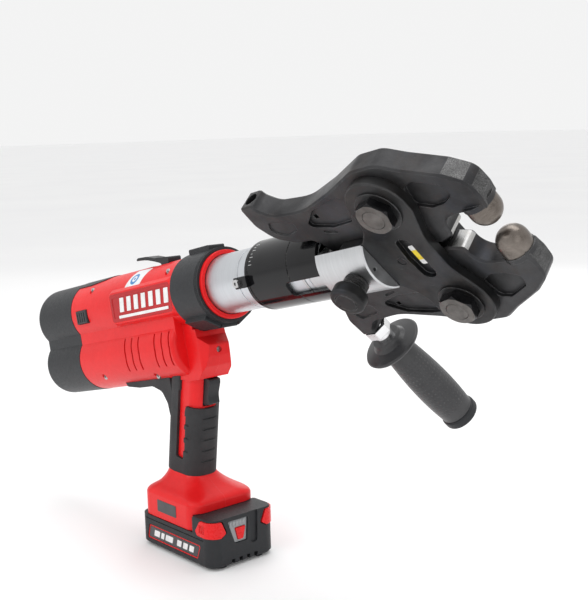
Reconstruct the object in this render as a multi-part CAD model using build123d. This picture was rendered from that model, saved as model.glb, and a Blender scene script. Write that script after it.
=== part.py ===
"""Battery press tool with a swivelling head and a two-armed claw for pressing rings.

Frame: battery foot flat on z = 0, x forward, y to the left, z up, millimetres.
The barrel is modelled along x about its own axis and then lifted and tilted.
The press head is modelled in its own plane and then swivelled about the barrel.
"""
import os
from math import cos, pi, radians, sin, sqrt, tan

from build123d import *

os.makedirs("parts", exist_ok=True)

# ---------------------------------------------------------------- driving sizes
BARREL_HEIGHT = 254.0
BARREL_TILT = 12.5
SWIVEL_ANGLE = 43.5

REAR_X = -265.0
CAP_X = -186.0
COLLAR_X0 = 6.0
COLLAR_X1 = 50.0
LOBE_R = 33.0
MOTOR_DROP = 50.0
MOTOR_R = 32.0
COLLAR_R = 35.0
WALL = 3.0

TUBE_R = 27.4
TUBE_END = 190.0
SLEEVE_X0 = 114.5
HEAD_X0 = 208.0
HEAD_X1 = 262.0
HEAD_R = 31.0
BORE_R = 20.0
SLOT_X0 = 200.0

PIN_X = 242.4
PIN_R = 8.0
PIVOT_X = 304.0
PIVOT_Z = 51.5
PIVOT_R = 9.0
BUSH_R = PIVOT_R + 3.5
PIVOT_HEX = 3.0 * PIVOT_R
WASHER_R = PIVOT_HEX / 2 + 5.0
PLATE_T = 8.0
ARM_HALF = 10.0
LOBE_PLATE_R = 27.0
TIP_X = 370.0
TIP_R = 12.5
TIP_REACH = 17.5
ARM_END_X = 383.0
TAIL_X = 172.5
TAIL_Z = 80.0

ROLLER_R = 8.0
ROLLER_HALF = 9.0
ROLLER_X = 204.0
RAM_STROKE = 21.0
ROD_R = 11.0

BATTERY_L = 118.0
BATTERY_W = 77.0
BATTERY_H = 32.0
TOWER_X = 27.0
TOWER_H = 48.0

GRIP_D = 50.0
GRIP_W = 36.0
GRIP_LEAN = 7.7
GRIP_FOOT_X = -30.6

BASE_X = -11.5
BASE_L = 87.0
BASE_W = 75.0
# height, centre x, length, width and corner radius of each level of the foot's slope
BASE_SECTIONS = [(54.9, BASE_X, BASE_L, BASE_W, 13.0),
                 (58.6, BASE_X, BASE_L - 3.5, BASE_W - 3.5, 13.5),
                 (61.8, BASE_X - 1.0, BASE_L - 13.0, BASE_W - 12.0, 15.0),
                 (66.0, BASE_X - 4.0, 63.0, 51.0, 16.0),
                 (71.5, BASE_X - 7.5, 53.0, 40.5, 15.5),
                 (80.0, BASE_X - 9.3, GRIP_D - 2, GRIP_W - 2, 14.0)]
LOW_LOBE_END = -9.0
NECK_HALF = 16.5
GRIP_TOP = BARREL_HEIGHT - 68.0
TRIGGER_Z = BARREL_HEIGHT - 104.0

# controls, screws and the slots in the grip
BUTTON_X = -164.0
SCREWS = [(-150, 22), (-150, -68), (-60, -74), (-8, 22)]
NOSE_SCREW_Z = -57.4
LEVER_X = -34.0
LEVER_Z = 24.5
LEVER_PIN_R = 2.0
TRIGGER_HALF = 6.2
STRIP_X0 = -3.2
STRIP_X1 = 8.2

# drive train
FAN_X = -160.0
GEAR_X = -92.0
GEAR_W = 10.0
PUMP_Z = -16.0
SHAFT_R = 2.5
PINION_R = 11.2
PUMP_GEAR_R = 22.4

# sleeve, arms and battery front
SLEEVE_IN = 27.8
CLAMP_TURN = 52.0
WINDOW_TURN = -99.0
POCKET_D = 3.2
FRONT_X = BATTERY_L / 2
GAUGE_Y = -3.6
LATCH_STROKE = 1.2

SLIDE_GAP = 0.3
RUN_GAP = 0.05
SEAT_GAP = 0.05
TAIL_THREAD_R = 6.0
TAIL_THREAD_DEPTH = 18.0

PLATE_Y0 = ARM_HALF + SLIDE_GAP
PLATE_Y1 = PLATE_Y0 + PLATE_T
SLOT_HALF = PLATE_Y1 + SLIDE_GAP

TOOL = Location((0, 0, BARREL_HEIGHT), (0, -BARREL_TILT, 0))
HEAD = TOOL * Location((0, 0, 0), (SWIVEL_ANGLE, 0, 0))
GRIP = Location((GRIP_FOOT_X, 0, 0), (0, GRIP_LEAN, 0))


# ---------------------------------------------------------------- shape helpers
def rod_x(r, x0, x1, y=0.0, z=0.0):
    return Pos((x0 + x1) / 2, y, z) * (Rot(0, 90, 0) * Cylinder(r, abs(x1 - x0)))


def rod_y(r, y0, y1, x=0.0, z=0.0):
    return Pos(x, (y0 + y1) / 2, z) * (Rot(90, 0, 0) * Cylinder(r, abs(y1 - y0)))


def rod_z(r, z0, z1, x=0.0, y=0.0):
    return Pos(x, y, (z0 + z1) / 2) * Cylinder(r, abs(z1 - z0))


def tube_x(ro, ri, x0, x1, y=0.0, z=0.0):
    return rod_x(ro, x0, x1, y, z) - rod_x(ri, x0 - 1, x1 + 1, y, z)


def tube_y(ro, ri, y0, y1, x=0.0, z=0.0):
    return rod_y(ro, y0, y1, x, z) - rod_y(ri, y0 - 1, y1 + 1, x, z)


def block(x0, x1, y0, y1, z0, z1):
    return Pos((x0 + x1) / 2, (y0 + y1) / 2, (z0 + z1) / 2) * Box(x1 - x0, y1 - y0, z1 - z0)


def rounded_face(points, place):
    """Closed outline with a radius at each corner; place() turns (u, v) into a point."""
    n = len(points)
    corners = []
    for i in range(n):
        ax, az, _ = points[i - 1]
        cx, cz, r = points[i]
        bx, bz, _ = points[(i + 1) % n]
        a = Vector(ax - cx, az - cz, 0).normalized()
        b = Vector(bx - cx, bz - cz, 0).normalized()
        c = Vector(cx, cz, 0)
        if r <= 0:
            corners.append((c, None, c))
            continue
        half = radians(a.get_angle(b)) / 2
        if half > pi / 2 - 0.02:
            corners.append((c, None, c))
            continue
        t = r / tan(half)
        mid = c + (a + b).normalized() * (r / sin(half) - r)
        corners.append((c + a * t, mid, c + b * t))
    edges = []
    for i in range(n):
        p, mid, q = corners[i]
        if mid is not None:
            edges.append(ThreePointArc(place(p), place(mid), place(q)))
        nxt = corners[(i + 1) % n][0]
        if (nxt - q).length > 1e-4:
            edges.append(Line(place(q), place(nxt)))
    return Face(Wire(edges))


def slab_y(points, y0, y1):
    """Rounded outline in x and z, thickened from y0 to y1."""
    face = rounded_face(points, lambda p: (p.X, y0, p.Y))
    return extrude(face, y1 - y0, dir=(0, 1, 0))


def slab_z(points, z0, z1):
    face = rounded_face(points, lambda p: (p.X, p.Y, z0))
    return extrude(face, z1 - z0, dir=(0, 0, 1))


def slab_x(points, x0, x1):
    """Rounded outline in y and z, thickened from x0 to x1."""
    face = rounded_face(points, lambda p: (x0, p.X, p.Y))
    return extrude(face, x1 - x0, dir=(1, 0, 0))


def rect_points(cx, cy, lx, ly, r):
    return [(cx - lx / 2, cy - ly / 2, r), (cx + lx / 2, cy - ly / 2, r),
            (cx + lx / 2, cy + ly / 2, r), (cx - lx / 2, cy + ly / 2, r)]


def flip(points):
    return [(x, -z, r) for x, z, r in points]


def hexagon(cx, cz, across, turn):
    r = across / 2 / cos(pi / 6)
    pts = []
    for i in range(6):
        a = radians(turn + 60 * i)
        pts.append((cx + r * cos(a), cz + r * sin(a), 0.6))
    return pts


def coil(radius, wire, length, turns, axis_x0):
    """Helical spring along x starting at axis_x0."""
    path = Helix(length / turns, length, radius)
    start = path @ 0
    profile = Plane(origin=start, z_dir=path % 0) * Circle(wire)
    spring = sweep(profile, path=path)
    return Pos(axis_x0, 0, 0) * (Rot(0, 90, 0) * spring)


def gear_x(r_out, r_root, teeth, bore, x0, x1, z):
    """Spur gear along x: trapezoid teeth on a root disc."""
    body = rod_x(r_root, x0, x1)
    step = 360 / teeth
    half = pi * r_out / teeth / 2 * 0.8
    tooth = slab_x([(-half * 1.3, r_root - 0.5, 0), (half * 1.3, r_root - 0.5, 0),
                    (half * 0.7, r_out, 0), (-half * 0.7, r_out, 0)], x0, x1)
    for i in range(teeth):
        body += Rot(step * i, 0, 0) * tooth
    body -= rod_x(bore, x0 - 1, x1 + 1)
    return Pos(0, 0, z) * body


def lobes(r_up, r_low, x0, x1, waist):
    """Two stacked round lobes joined by a flat-sided waist."""
    s = rod_x(r_up, x0, x1)
    s += rod_x(r_low, x0, x1, 0, -MOTOR_DROP)
    s += block(x0, x1, -waist, waist, -MOTOR_DROP, 0)
    return s


# ---------------------------------------------------------------- body shell
def body_solid(grow):
    """Whole moulded body grown outward (or inward when negative)."""
    up = LOBE_R + grow
    low = MOTOR_R + grow
    s = rod_x(up, CAP_X + 0.2, COLLAR_X0 - 0.2)
    lower = rod_x(low, CAP_X + 0.2, LOW_LOBE_END + grow, 0, -MOTOR_DROP)
    if grow == 0:
        lower = fillet(lower.faces().sort_by(Axis.X)[-1].edges(), 5)
    s += lower
    s += block(CAP_X + 0.2, LOW_LOBE_END + grow, -26 - grow, 26 + grow, -MOTOR_DROP, 0)
    neck_z = -MOTOR_DROP - MOTOR_R + 1 - grow
    s += block(-34, 3 + grow, -NECK_HALF - grow, NECK_HALF + grow, neck_z, -20)
    s = TOOL * (s + nose_solid(grow))
    stem = rect_points(0, 0, GRIP_D - 6 + 2 * grow, GRIP_W - 6 + 2 * grow, 12 + grow)
    s += GRIP * slab_z(stem, 62, GRIP_TOP)
    s += base_solid(grow)
    return s


def nose_solid(grow):
    """Nose under the collar: bulging front with chamfered corners, cut back to the trigger below."""
    low = -83 - grow
    side = slab_y([(-20, -30, 0), (5.6, -30, 0), (5.6, -35.5, 0), (9.4, -35.5, 0), (10.4 + grow, -43.6, 2),
                   (20.5 + grow, -52.2, 3), (18.2 + grow, -63, 8), (14.6 + grow, -72, 3),
                   (5.5 + grow, low + 2.4, 3), (3.4 + grow, low, 1), (-20, low, 0)], -30, 30)
    wide = 17 + grow
    front = 10.6 + grow
    plan = slab_z([(-20, -wide, 0), (10.5 + grow, -wide, 4), (22 + grow, -front, 3), (22 + grow, front, 3),
                   (10.5 + grow, wide, 4), (-20, wide, 0)], -90, -20)
    return side & plan


def base_solid(grow):
    """Foot over the battery: straight skirt, rounded shoulders and a slope up to the grip."""
    foot_z = BATTERY_H + SLIDE_GAP
    sections = []
    for z, cx, lx, ly, r in BASE_SECTIONS:
        outline = RectangleRounded(lx + 2 * grow, ly + 2 * grow, r + grow)
        sections.append((Pos(cx, 0, z + (grow if z > 55 else 0)) * (Plane.XY * outline)).face())
    flare = loft(sections)
    skirt = slab_z(rect_points(BASE_X, 0, BASE_L + 2 * grow, BASE_W + 2 * grow, 13 + grow), foot_z, 55)
    skirt -= block(TOWER_X - 0.5, 60, -50, 50, 20, TOWER_H + SLIDE_GAP)
    flare -= block(TOWER_X - 0.5, 60, -50, 50, 20, TOWER_H + SLIDE_GAP)
    return flare + skirt


def shell_details(s):
    """Openings and surface details in the assembled shell."""
    for base_x in (-97.0, -43.0):
        for k in range(3):
            x = base_x + 12.5 * k
            for side in (-1, 1):
                slot = slab_y([(x - 1.1, -33, 1), (x + 1.1, -33, 1), (x + 4.1, -50, 1),
                               (x + 1.1, -66, 1), (x - 1.1, -66, 1), (x + 1.9, -50, 1)], 20, 40)
                slot = slot if side > 0 else mirror(slot, Plane.XZ)
                s -= TOOL * slot
    s -= TOOL * rod_x(TUBE_R + 0.6, -20, COLLAR_X1)
    s -= TOOL * block(BUTTON_X - 11.2, BUTTON_X + 11.2, -40, -24, -10.2, 4.2)
    s -= TOOL * slab_y(rect_points(-50, -1.5, 108, 28, 3), -40, -LOBE_R + 1.2)
    s -= TOOL * slab_y(rect_points(-50, -1.5, 108, 28, 3), LOBE_R - 1.2, 40)
    s -= TOOL * block(-62, -26, -9, 9, 24, 40)
    for x, z in SCREWS:
        reach = screw_face(x, z)
        s -= TOOL * rod_y(3.2, -reach - 3, -reach + 0.95, x, z)
        s -= TOOL * rod_y(3.02, -reach - 3, -reach + 3.2, x, z)
    s -= TOOL * rod_x(3.0, 12, 40, 0, NOSE_SCREW_Z)
    s -= trigger_pocket()
    s -= GRIP * block(-12, 12, -9, 9, 50, 72)
    return s


def trigger_pocket():
    half = TRIGGER_HALF + 0.5
    return GRIP * block(8, 60, -half, half, TRIGGER_Z - 1.5, TRIGGER_Z + 28.6)


def handle_layer():
    """Space taken by the rubber grip around the stem."""
    ring = GRIP * slab_z(rect_points(0, 0, GRIP_D, GRIP_W, 15), 75.5, 147)
    back = GRIP * slab_z([(-GRIP_D / 2, -GRIP_W / 2, 15), (-2, -GRIP_W / 2, 2), (-2, GRIP_W / 2, 2),
                          (-GRIP_D / 2, GRIP_W / 2, 15)], 146, GRIP_TOP - 4)
    return ring, back


def body_halves(outer):
    inner = body_solid(-WALL)
    inner -= block(-80, 80, -50, 50, 20, BATTERY_H + WALL)
    shell = outer - inner
    shell -= TOOL * lobes(LOBE_R - WALL, MOTOR_R - WALL, CAP_X - 5, CAP_X + 10, 26 - WALL)
    shell = shell_details(shell)
    shell -= block(-70, 70, -22, 22, 20, 46)
    shell -= block(-31.2, 10.2, -11.8, 11.8, 45, 52.2)
    right = shell & block(-400, 200, -80, 0, -20, 400)
    left = shell & block(-400, 200, 0, 80, -20, 400)
    return biggest(right), biggest(left)


def biggest(s):
    return max(s.solids(), key=lambda q: q.volume)


def grip_overmould(outer):
    ring, back = handle_layer()
    under = -MOTOR_DROP - MOTOR_R
    pad = TOOL * slab_y([(-129, under + 8, 1), (-124, under + 0.5, 4), (-102, under - 2, 8),
                         (-78, under - 2, 12), (-63, under - 8, 10), (-56.5, under - 20, 8),
                         (-55.5, under - 32, 1), (-46, under - 32, 1), (-46, under + 8, 1)], -17, 17)
    s = ring + back + pad
    core = GRIP * slab_z(rect_points(0, 0, GRIP_D - 6, GRIP_W - 6, 12), 62, GRIP_TOP + 4)
    s -= core
    s -= TOOL * lobes(LOBE_R, MOTOR_R, CAP_X - 10, COLLAR_X0 + 60, 26)
    s -= outer
    for side in (-1, 1):
        y = side * GRIP_W / 2
        y0, y1 = min(y, 0), max(y, 0)
        s -= GRIP * slab_y([(STRIP_X0, 92, 2), (STRIP_X1, 92, 2), (STRIP_X1, 141, 1), (STRIP_X1 + 4, 160, 1),
                            (STRIP_X0, 160, 1)], y0, y1)
        y0, y1 = min(y - 1.2 * side, y + side), max(y - 1.2 * side, y + side)
        for k in range(3):
            z = 101 + 13.5 * k
            bar = [(8, z, 0.8), (21, z - 0.6, 0.8), (21, z + 2.4, 0.8), (8, z + 2.4, 0.8)]
            s -= GRIP * slab_y(bar, y0, y1)
            s -= GRIP * slab_y([(8, z, 0.6), (10, z, 0.6), (10, z + 9, 0.6), (8, z + 9, 0.6)], y0, y1)
    for k in range(5):
        z = 92 + 11 * k
        s -= GRIP * block(GRIP_D / 2 - 1.1, 30, -12, 12, z, z + 2.2)
        s -= GRIP * block(-30, -GRIP_D / 2 + 1.1, -12, 12, z + 3, z + 5.2)
    return biggest(s)


def rear_cap():
    s = lobes(LOBE_R + 0.3, MOTOR_R + 0.3, REAR_X, CAP_X - 0.3, 26)
    rim = s.faces().sort_by(Axis.X)[0].edges()
    s = fillet(rim, 9)
    s -= lobes(LOBE_R - WALL, MOTOR_R - WALL, REAR_X + 4, CAP_X + 5, 26 - WALL)
    for k in range(5):
        s -= block(REAR_X - 2, REAR_X + 6, -16, 16, -62 + 6 * k, -59.5 + 6 * k)
    return TOOL * s


def front_collar():
    s = tube_x(COLLAR_R, TUBE_R + 0.5, COLLAR_X0, COLLAR_X1)
    s -= rod_x(32.1, COLLAR_X1 - 8, COLLAR_X1 + 1)
    for a in (0, 150, 180, 210):
        lug = block(10, 42, -9, 9, COLLAR_R - 4, COLLAR_R + 3.6)
        lug = fillet(lug.edges().filter_by(Axis.Y), 1.6)
        s += Rot(a, 0, 0) * lug
    for k in range(3):
        s -= tube_x(COLLAR_R + 5, COLLAR_R - 0.7, 45 + 1.6 * k, 45.7 + 1.6 * k)
    s -= tube_x(29.95, TUBE_R, COLLAR_X0 - 1, COLLAR_X0 + 2)
    return TOOL * biggest(s)


def collar_ring():
    s = tube_x(32.0, TUBE_R + 0.35, COLLAR_X1 - 7.9, COLLAR_X1 + 3)
    s = fillet(s.faces().sort_by(Axis.X)[-1].edges(), 0.9)
    return TOOL * s


# ---------------------------------------------------------------- controls


def release_lever():
    s = slab_y([(-88, 41.6, 1), (-80, 44.4, 3), (-66, 43.6, 6), (-52, 40.2, 6), (-27.5, 38.2, 2),
                (-30, 21.2, 3), (-38, 21.2, 3), (-41, 33.5, 5), (-52, 36.8, 4), (-62, 39.4, 6), (-76, 41.6, 4)], -7.5, 7.5)
    s -= rod_y(LEVER_PIN_R + RUN_GAP, -9, 9, LEVER_X, LEVER_Z)
    for k in range(4):
        s -= block(-78 + 5 * k, -76.6 + 5 * k, -9, 9, 43.4, 50)
    return TOOL * s


def lever_mount():
    """Pivot pin with a cheek at each end."""
    out = [TOOL * rod_y(LEVER_PIN_R, -12.6, 12.6, LEVER_X, LEVER_Z)]
    for y0, y1 in ((-12.8, -9.3), (9.3, 12.8)):
        cheek = block(-42, -26, y0, y1, 20.4, 27.0) - rod_y(LEVER_PIN_R, -20, 20, LEVER_X, LEVER_Z)
        out.append(TOOL * cheek)
    return Compound(children=out)


def side_button():
    s = block(BUTTON_X - 10.9, BUTTON_X + 10.9, -34.2, -26.5, -9.9, 3.9)
    s = fillet(s.faces().sort_by(Axis.Y)[0].edges(), 1.2)
    for k in range(4):
        s -= block(BUTTON_X - 8 + 4.4 * k, BUTTON_X - 6.6 + 4.4 * k, -36, -33.6, -8, 2)
    s += rod_y(3, -27, -22.5, BUTTON_X, -3)
    return TOOL * s


def button_switch():
    s = block(BUTTON_X - 8, BUTTON_X + 8, -18.5, -10, -11, 5)
    s += tube_y(5.5, 4.5, -21, -18.5, BUTTON_X, -3)
    return TOOL * s


def trigger():
    half = TRIGGER_HALF
    low = TRIGGER_Z
    top = TRIGGER_Z + 27.6
    s = slab_y([(9, low, 1), (23.5, low + 0.2, 3), (31.0, low + 3, 2), (28.6, low + 12, 12),
                (30.4, top - 4.6, 3), (30.0, top, 2), (9, top, 1)], -half, half)
    s -= block(5, 19, -half + 1.6, half - 1.6, low + 2, top - 2)
    return GRIP * s


def trigger_switch():
    s = block(-14, 3.4, -8, 8, TRIGGER_Z, TRIGGER_Z + 28)
    s += rod_x(2.6, 3.4, 14.0, 0, TRIGGER_Z + 14)
    return GRIP * s


def name_panels():
    out = []
    for side in (-1, 1):
        y0 = LOBE_R - 1.15
        s = slab_y(rect_points(-50, -1.5, 107.6, 27.6, 3), y0, y0 + 1.6)
        s -= slab_y(rect_points(-50, -1.5, 101, 21, 2), y0 + 1.1, y0 + 3)
        out.append(TOOL * (s if side > 0 else mirror(s, Plane.XZ)))
    return Compound(children=out)


def shell_screws():
    out = []
    for x, z in SCREWS:
        reach = screw_face(x, z)
        s = rod_y(3.0, -reach + 0.9, -reach + 3.1, x, z)
        s -= slab_y(hexagon(x, z, 2.6, 0), -reach, -reach + 2.2)
        out.append(TOOL * s)
    nose = rod_x(2.95, 12.05, 16.4, 0, NOSE_SCREW_Z) - rod_x(1.4, 15, 18, 0, NOSE_SCREW_Z)
    out.append(TOOL * nose)
    return Compound(children=out)


def screw_face(x, z):
    """Outer half width of the body at a screw."""
    if z > -MOTOR_DROP / 2:
        return sqrt(LOBE_R ** 2 - z ** 2)
    return sqrt(MOTOR_R ** 2 - (z + MOTOR_DROP) ** 2)


# ---------------------------------------------------------------- drive train inside the body
MOTOR_X0 = -232.0
MOTOR_X1 = -170.0
GEARBOX_X0 = -148.0
GEARBOX_X1 = -102.0


def motor_can():
    s = tube_x(25, 22, MOTOR_X0, MOTOR_X1)
    s += tube_x(25, SHAFT_R + RUN_GAP, MOTOR_X0 - 3, MOTOR_X0)
    s += tube_x(25, SHAFT_R + RUN_GAP, MOTOR_X1, MOTOR_X1 + 3)
    for k in range(6):
        s -= Rot(60 * k, 0, 0) * block(MOTOR_X0 - 5, MOTOR_X0 + 1, -4, 4, 10, 18)
    for k in range(4):
        s += Rot(45 + 90 * k, 0, 0) * block(MOTOR_X0 + 4, MOTOR_X1 - 4, -6, 6, 17.5, 23)
    return TOOL * (Pos(0, 0, -MOTOR_DROP) * s)


def motor_rotor():
    s = rod_x(SHAFT_R, MOTOR_X0 - 10, GEARBOX_X0 + 6)
    s += rod_x(15, MOTOR_X0 + 8, MOTOR_X1 - 10)
    for k in range(12):
        s -= Rot(30 * k, 0, 0) * block(MOTOR_X0 + 6, MOTOR_X1 - 8, -0.8, 0.8, 11, 16)
    s += rod_x(7, MOTOR_X1 - 8, MOTOR_X1 - 2)
    return TOOL * (Pos(0, 0, -MOTOR_DROP) * s)


def cooling_fan():
    s = tube_x(7, SHAFT_R, FAN_X - 5, FAN_X + 5) + tube_x(24, 6, FAN_X - 5, FAN_X - 3.4)
    for k in range(11):
        s += Rot(360 * k / 11, 0, 0) * block(FAN_X - 4, FAN_X + 4.5, -0.7, 0.7, 6.5, 23.5)
    return TOOL * (Pos(0, 0, -MOTOR_DROP) * s)


def gearbox_case():
    s = tube_x(26, 22, GEARBOX_X0, GEARBOX_X1)
    s += tube_x(26, 4, GEARBOX_X0 - 2, GEARBOX_X0) + tube_x(26, 5.05, GEARBOX_X1, GEARBOX_X1 + 3)
    for k in range(4):
        s += Rot(90 * k, 0, 0) * block(GEARBOX_X0 + 6, GEARBOX_X1 - 6, -3, 3, 25, 27.5)
    return TOOL * (Pos(0, 0, -MOTOR_DROP) * s)


def planet_stage():
    s = rod_x(18.5, GEARBOX_X0 + 12, GEARBOX_X0 + 15)
    for k in range(3):
        s += Rot(120 * k, 0, 0) * rod_x(2.4, GEARBOX_X0 + 14, GEARBOX_X0 + 30, 0, 12.5)
        s += Rot(120 * k, 0, 0) * gear_x(7.6, 6.4, 14, 2.3, GEARBOX_X0 + 17, GEARBOX_X0 + 27, 12.5)
    s += rod_x(18.5, GEARBOX_X0 + 29, GEARBOX_X0 + 33)
    s += rod_x(5.0, GEARBOX_X0 + 32, GEAR_X + GEAR_W - 1)
    s += gear_x(PINION_R, PINION_R - 1.8, 18, 4.5, GEAR_X, GEAR_X + GEAR_W, 0)
    return TOOL * (Pos(0, 0, -MOTOR_DROP) * s)


def pump_gear():
    s = gear_x(PUMP_GEAR_R, PUMP_GEAR_R - 1.8, 36, 4.0, GEAR_X, GEAR_X + GEAR_W, 0)
    s += rod_x(4.5, GEAR_X - 3, -32)
    s += rod_x(6.5, -64, -50, 0, 1.5)
    for k in range(6):
        s -= Rot(60 * k, 0, 0) * rod_x(3.4, GEAR_X - 1, GEAR_X + GEAR_W + 1, 0, 14)
    return TOOL * (Pos(0, 0, PUMP_Z) * s)


def pump_block():
    s = rod_x(28.5, -78, -4)
    s -= rod_x(4.55, -80, -30, 0, PUMP_Z)
    s -= rod_x(9.0, -68, -46, 0, PUMP_Z)
    s -= rod_z(3.55, PUMP_Z, 21, -57, 0)
    s -= rod_z(6.0, 5, 21, -57, 0)
    s -= rod_x(2.5, -57, 0, 0, 18)
    s -= block(-62.7, -25.3, -9.2, 9.2, 19, 40)
    s -= block(-61, -23, -13.3, 13.3, 20.2, 30)
    for k in range(3):
        s -= tube_x(30, 27, -74 + 3.4 * k, -72 + 3.4 * k)
    return TOOL * biggest(s)


def pump_plunger():
    s = rod_z(3.5, PUMP_Z + 8.4, 14, -57, 0) + rod_z(5.0, 14, 16, -57, 0)
    return TOOL * s


def oil_reservoir():
    s = rod_x(27, -178, -98)
    s = fillet(s.edges(), 4)
    s -= tube_x(31, 25.8, -160, -154) + tube_x(31, 25.8, -140, -134) + tube_x(31, 25.8, -120, -114)
    s &= block(-300, 0, -40, 40, -17, 40)
    s -= rod_y(7.5, -40, -8, BUTTON_X, -3)
    s -= block(BUTTON_X - 12, BUTTON_X + 12, -40, -8.5, -20, 8)
    return TOOL * biggest(s)


def control_board():
    s = block(-252, -188, -1, 1, -12, 22)
    chips = ((-246, 14, 9), (-230, 12, 12), (-212, 10, 8), (-200, -4, 10), (-240, -6, 10), (-222, -6, 8))
    for x, z, w in chips:
        s += block(x, x + w, -5, -1, z - 4, z + 4)
    for x in (-206, -197):
        s += rod_y(4, 1, 13, x, 14)
    return TOOL * s


# ---------------------------------------------------------------- press cylinder and ram
def press_cylinder():
    s = rod_x(TUBE_R, -3.8, TUBE_END)
    s -= rod_x(BORE_R, 8, TUBE_END + 1)
    s -= rod_x(3.0, -5, 9, 0, 14)
    s -= tube_x(TUBE_R + 1, TUBE_R - 1.2, 182, 185)
    s -= tube_x(TUBE_R + 1, TUBE_R - 0.5, 100, 101.2)
    return TOOL * s


def cylinder_gland():
    s = tube_x(BORE_R - 0.02, ROD_R + RUN_GAP, 172, TUBE_END - 0.4)
    s -= tube_x(BORE_R + 1, BORE_R - 1.0, 178, 180.5)
    return HEAD * s


def ram():
    s = rod_x(BORE_R - RUN_GAP, 12, 36) + rod_x(ROD_R, 36, 195)
    s -= tube_x(BORE_R + 1, BORE_R - 3.0, 21, 26)
    s += block(194, ROLLER_X + 3.8, -13, 13, -13, 13)
    s -= block(196, ROLLER_X + 6, -ROLLER_HALF - SLIDE_GAP, ROLLER_HALF + SLIDE_GAP, -20, 20)
    s = s & (rod_x(18.4, 190, 215) + rod_x(BORE_R, 0, 192))
    for z in (-ROLLER_R - 0.25, ROLLER_R + 0.25):
        s -= rod_y(2.5, -20, 20, ROLLER_X, z)
    return HEAD * s


def piston_seal():
    return HEAD * tube_x(BORE_R - 0.02, BORE_R - 2.95, 21.1, 25.9)


def roller(z):
    return HEAD * tube_y(ROLLER_R, 2.5 + RUN_GAP, -ROLLER_HALF, ROLLER_HALF, ROLLER_X, z)


def roller_axles():
    out = []
    for z in (-ROLLER_R - 0.25, ROLLER_R + 0.25):
        out.append(HEAD * rod_y(2.5, -12.6, 12.6, ROLLER_X, z))
    return Compound(children=out)


def ram_spring():
    return HEAD * coil(15.2, 1.5, 108, 11, 38.2)


# ---------------------------------------------------------------- swivelling head
def head_ring():
    s = tube_x(SLEEVE_IN, TUBE_R - 1.1, 182.3, 184.7)
    s -= block(180, 190, -3, 3, 20, 40)
    return HEAD * s


def black_sleeve():
    s = tube_x(HEAD_R, SLEEVE_IN, SLEEVE_X0, HEAD_X0 - 0.05)
    s = chamfer(s.faces().sort_by(Axis.X)[0].edges(), 0.8)
    for x in (118.6, 171.3):
        s -= tube_x(HEAD_R + 1, HEAD_R - 0.5, x, x + 0.9)
    window = slab_z([(163.8, -7, 3), (225, -7, 0), (225, 7, 0), (163.8, 7, 3)], -60, -20)
    s -= Rot(WINDOW_TURN, 0, 0) * window
    return HEAD * s


def sleeve_clamp():
    s = block(104.5, 121, -5, 5, HEAD_R - 0.6, HEAD_R + 4.2)
    s -= rod_x(HEAD_R, 90, 140)
    s = s + block(104.5, 114.3, -5, 5, 28.1, HEAD_R + 0.5)
    s = fillet(s.edges().filter_by(Axis.Z), 1.5)
    s -= rod_z(2.05, 25, 40, 109, 0)
    return HEAD * (Rot(CLAMP_TURN, 0, 0) * s)


def clamp_screw():
    s = rod_z(2.0, 29, 36, 109, 0) + rod_z(3.6, 35.25, 38, 109, 0)
    s -= slab_z(hexagon(109, 0, 3.0, 0), 36, 39)
    return HEAD * (Rot(CLAMP_TURN, 0, 0) * s)


def fork_head():
    s = rod_x(HEAD_R, HEAD_X0, HEAD_X1) + rod_x(SLEEVE_IN, TUBE_END + 1, HEAD_X0)
    s = chamfer(s.faces().sort_by(Axis.X)[-1].edges(), 1.2)
    s -= rod_x(20.5, TUBE_END - 1, SLOT_X0 + 1)
    s -= block(SLOT_X0, HEAD_X1 + 1, -SLOT_HALF, SLOT_HALF, -40, 40)
    s -= rod_y(PIN_R + RUN_GAP, -40, 40, PIN_X, 0)
    s -= rod_x(1.6, HEAD_X1 - 8, HEAD_X1 + 1, -25, 4)
    return HEAD * s


def attachment_pin():
    """Locking pin: plain shank, ribbed neck and a round pull knob."""
    s = rod_y(PIN_R, -32.2, 29.5, PIN_X, 0)
    s += rod_y(10.2, -42, -31.6, PIN_X, 0)
    for k in range(3):
        s -= tube_y(12, 9.3, -34.6 - 2.4 * k, -33.4 - 2.4 * k, PIN_X, 0)
    knob = fillet(rod_y(14.3, -52.5, -40.5, PIN_X, 0).edges(), 2.8)
    knob -= tube_y(9.4, 8.4, -53, -51.9, PIN_X, 0)
    s += knob
    s -= tube_y(PIN_R + 1, PIN_R - 1, 26.5, 28, PIN_X, 0)
    return HEAD * s


def plate_outline():
    r = LOBE_PLATE_R
    x = PIVOT_X
    z = PIVOT_Z
    neck = 24.4
    half = [(230, -neck, 8), (262, -neck, 6), (273, -35, 10), (x - r, -z + 6, 12), (x - r, -z - r, r - 0.5),
            (x + r, -z - r, r - 0.5), (x + r, -z + 8, 16), (320.5, -16, 30)]
    return half + [(px, -pz, pr) for px, pz, pr in reversed(half)]


def side_plate(side):
    s = slab_y(plate_outline(), PLATE_Y0, PLATE_Y1)
    outer = s.faces().sort_by(Axis.Y)[-1]
    s = chamfer(outer.edges(), 0.7)
    for z in (-PIVOT_Z, PIVOT_Z):
        s -= rod_y(PIVOT_R + RUN_GAP, 0, 30, PIVOT_X, z)
    s -= rod_y(PIN_R + RUN_GAP, 0, 30, PIN_X, 0)
    s -= rod_y(4.0, 0, 30, 284, 0)
    s -= slab_y([(293, -22, 6), (306, -20, 6), (305.5, 0, 20), (306, 20, 6), (293, 22, 6), (290.5, 0, 20)],
                PLATE_Y1 - 4.5, 40)
    return HEAD * (s if side > 0 else mirror(s, Plane.XZ))


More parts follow.
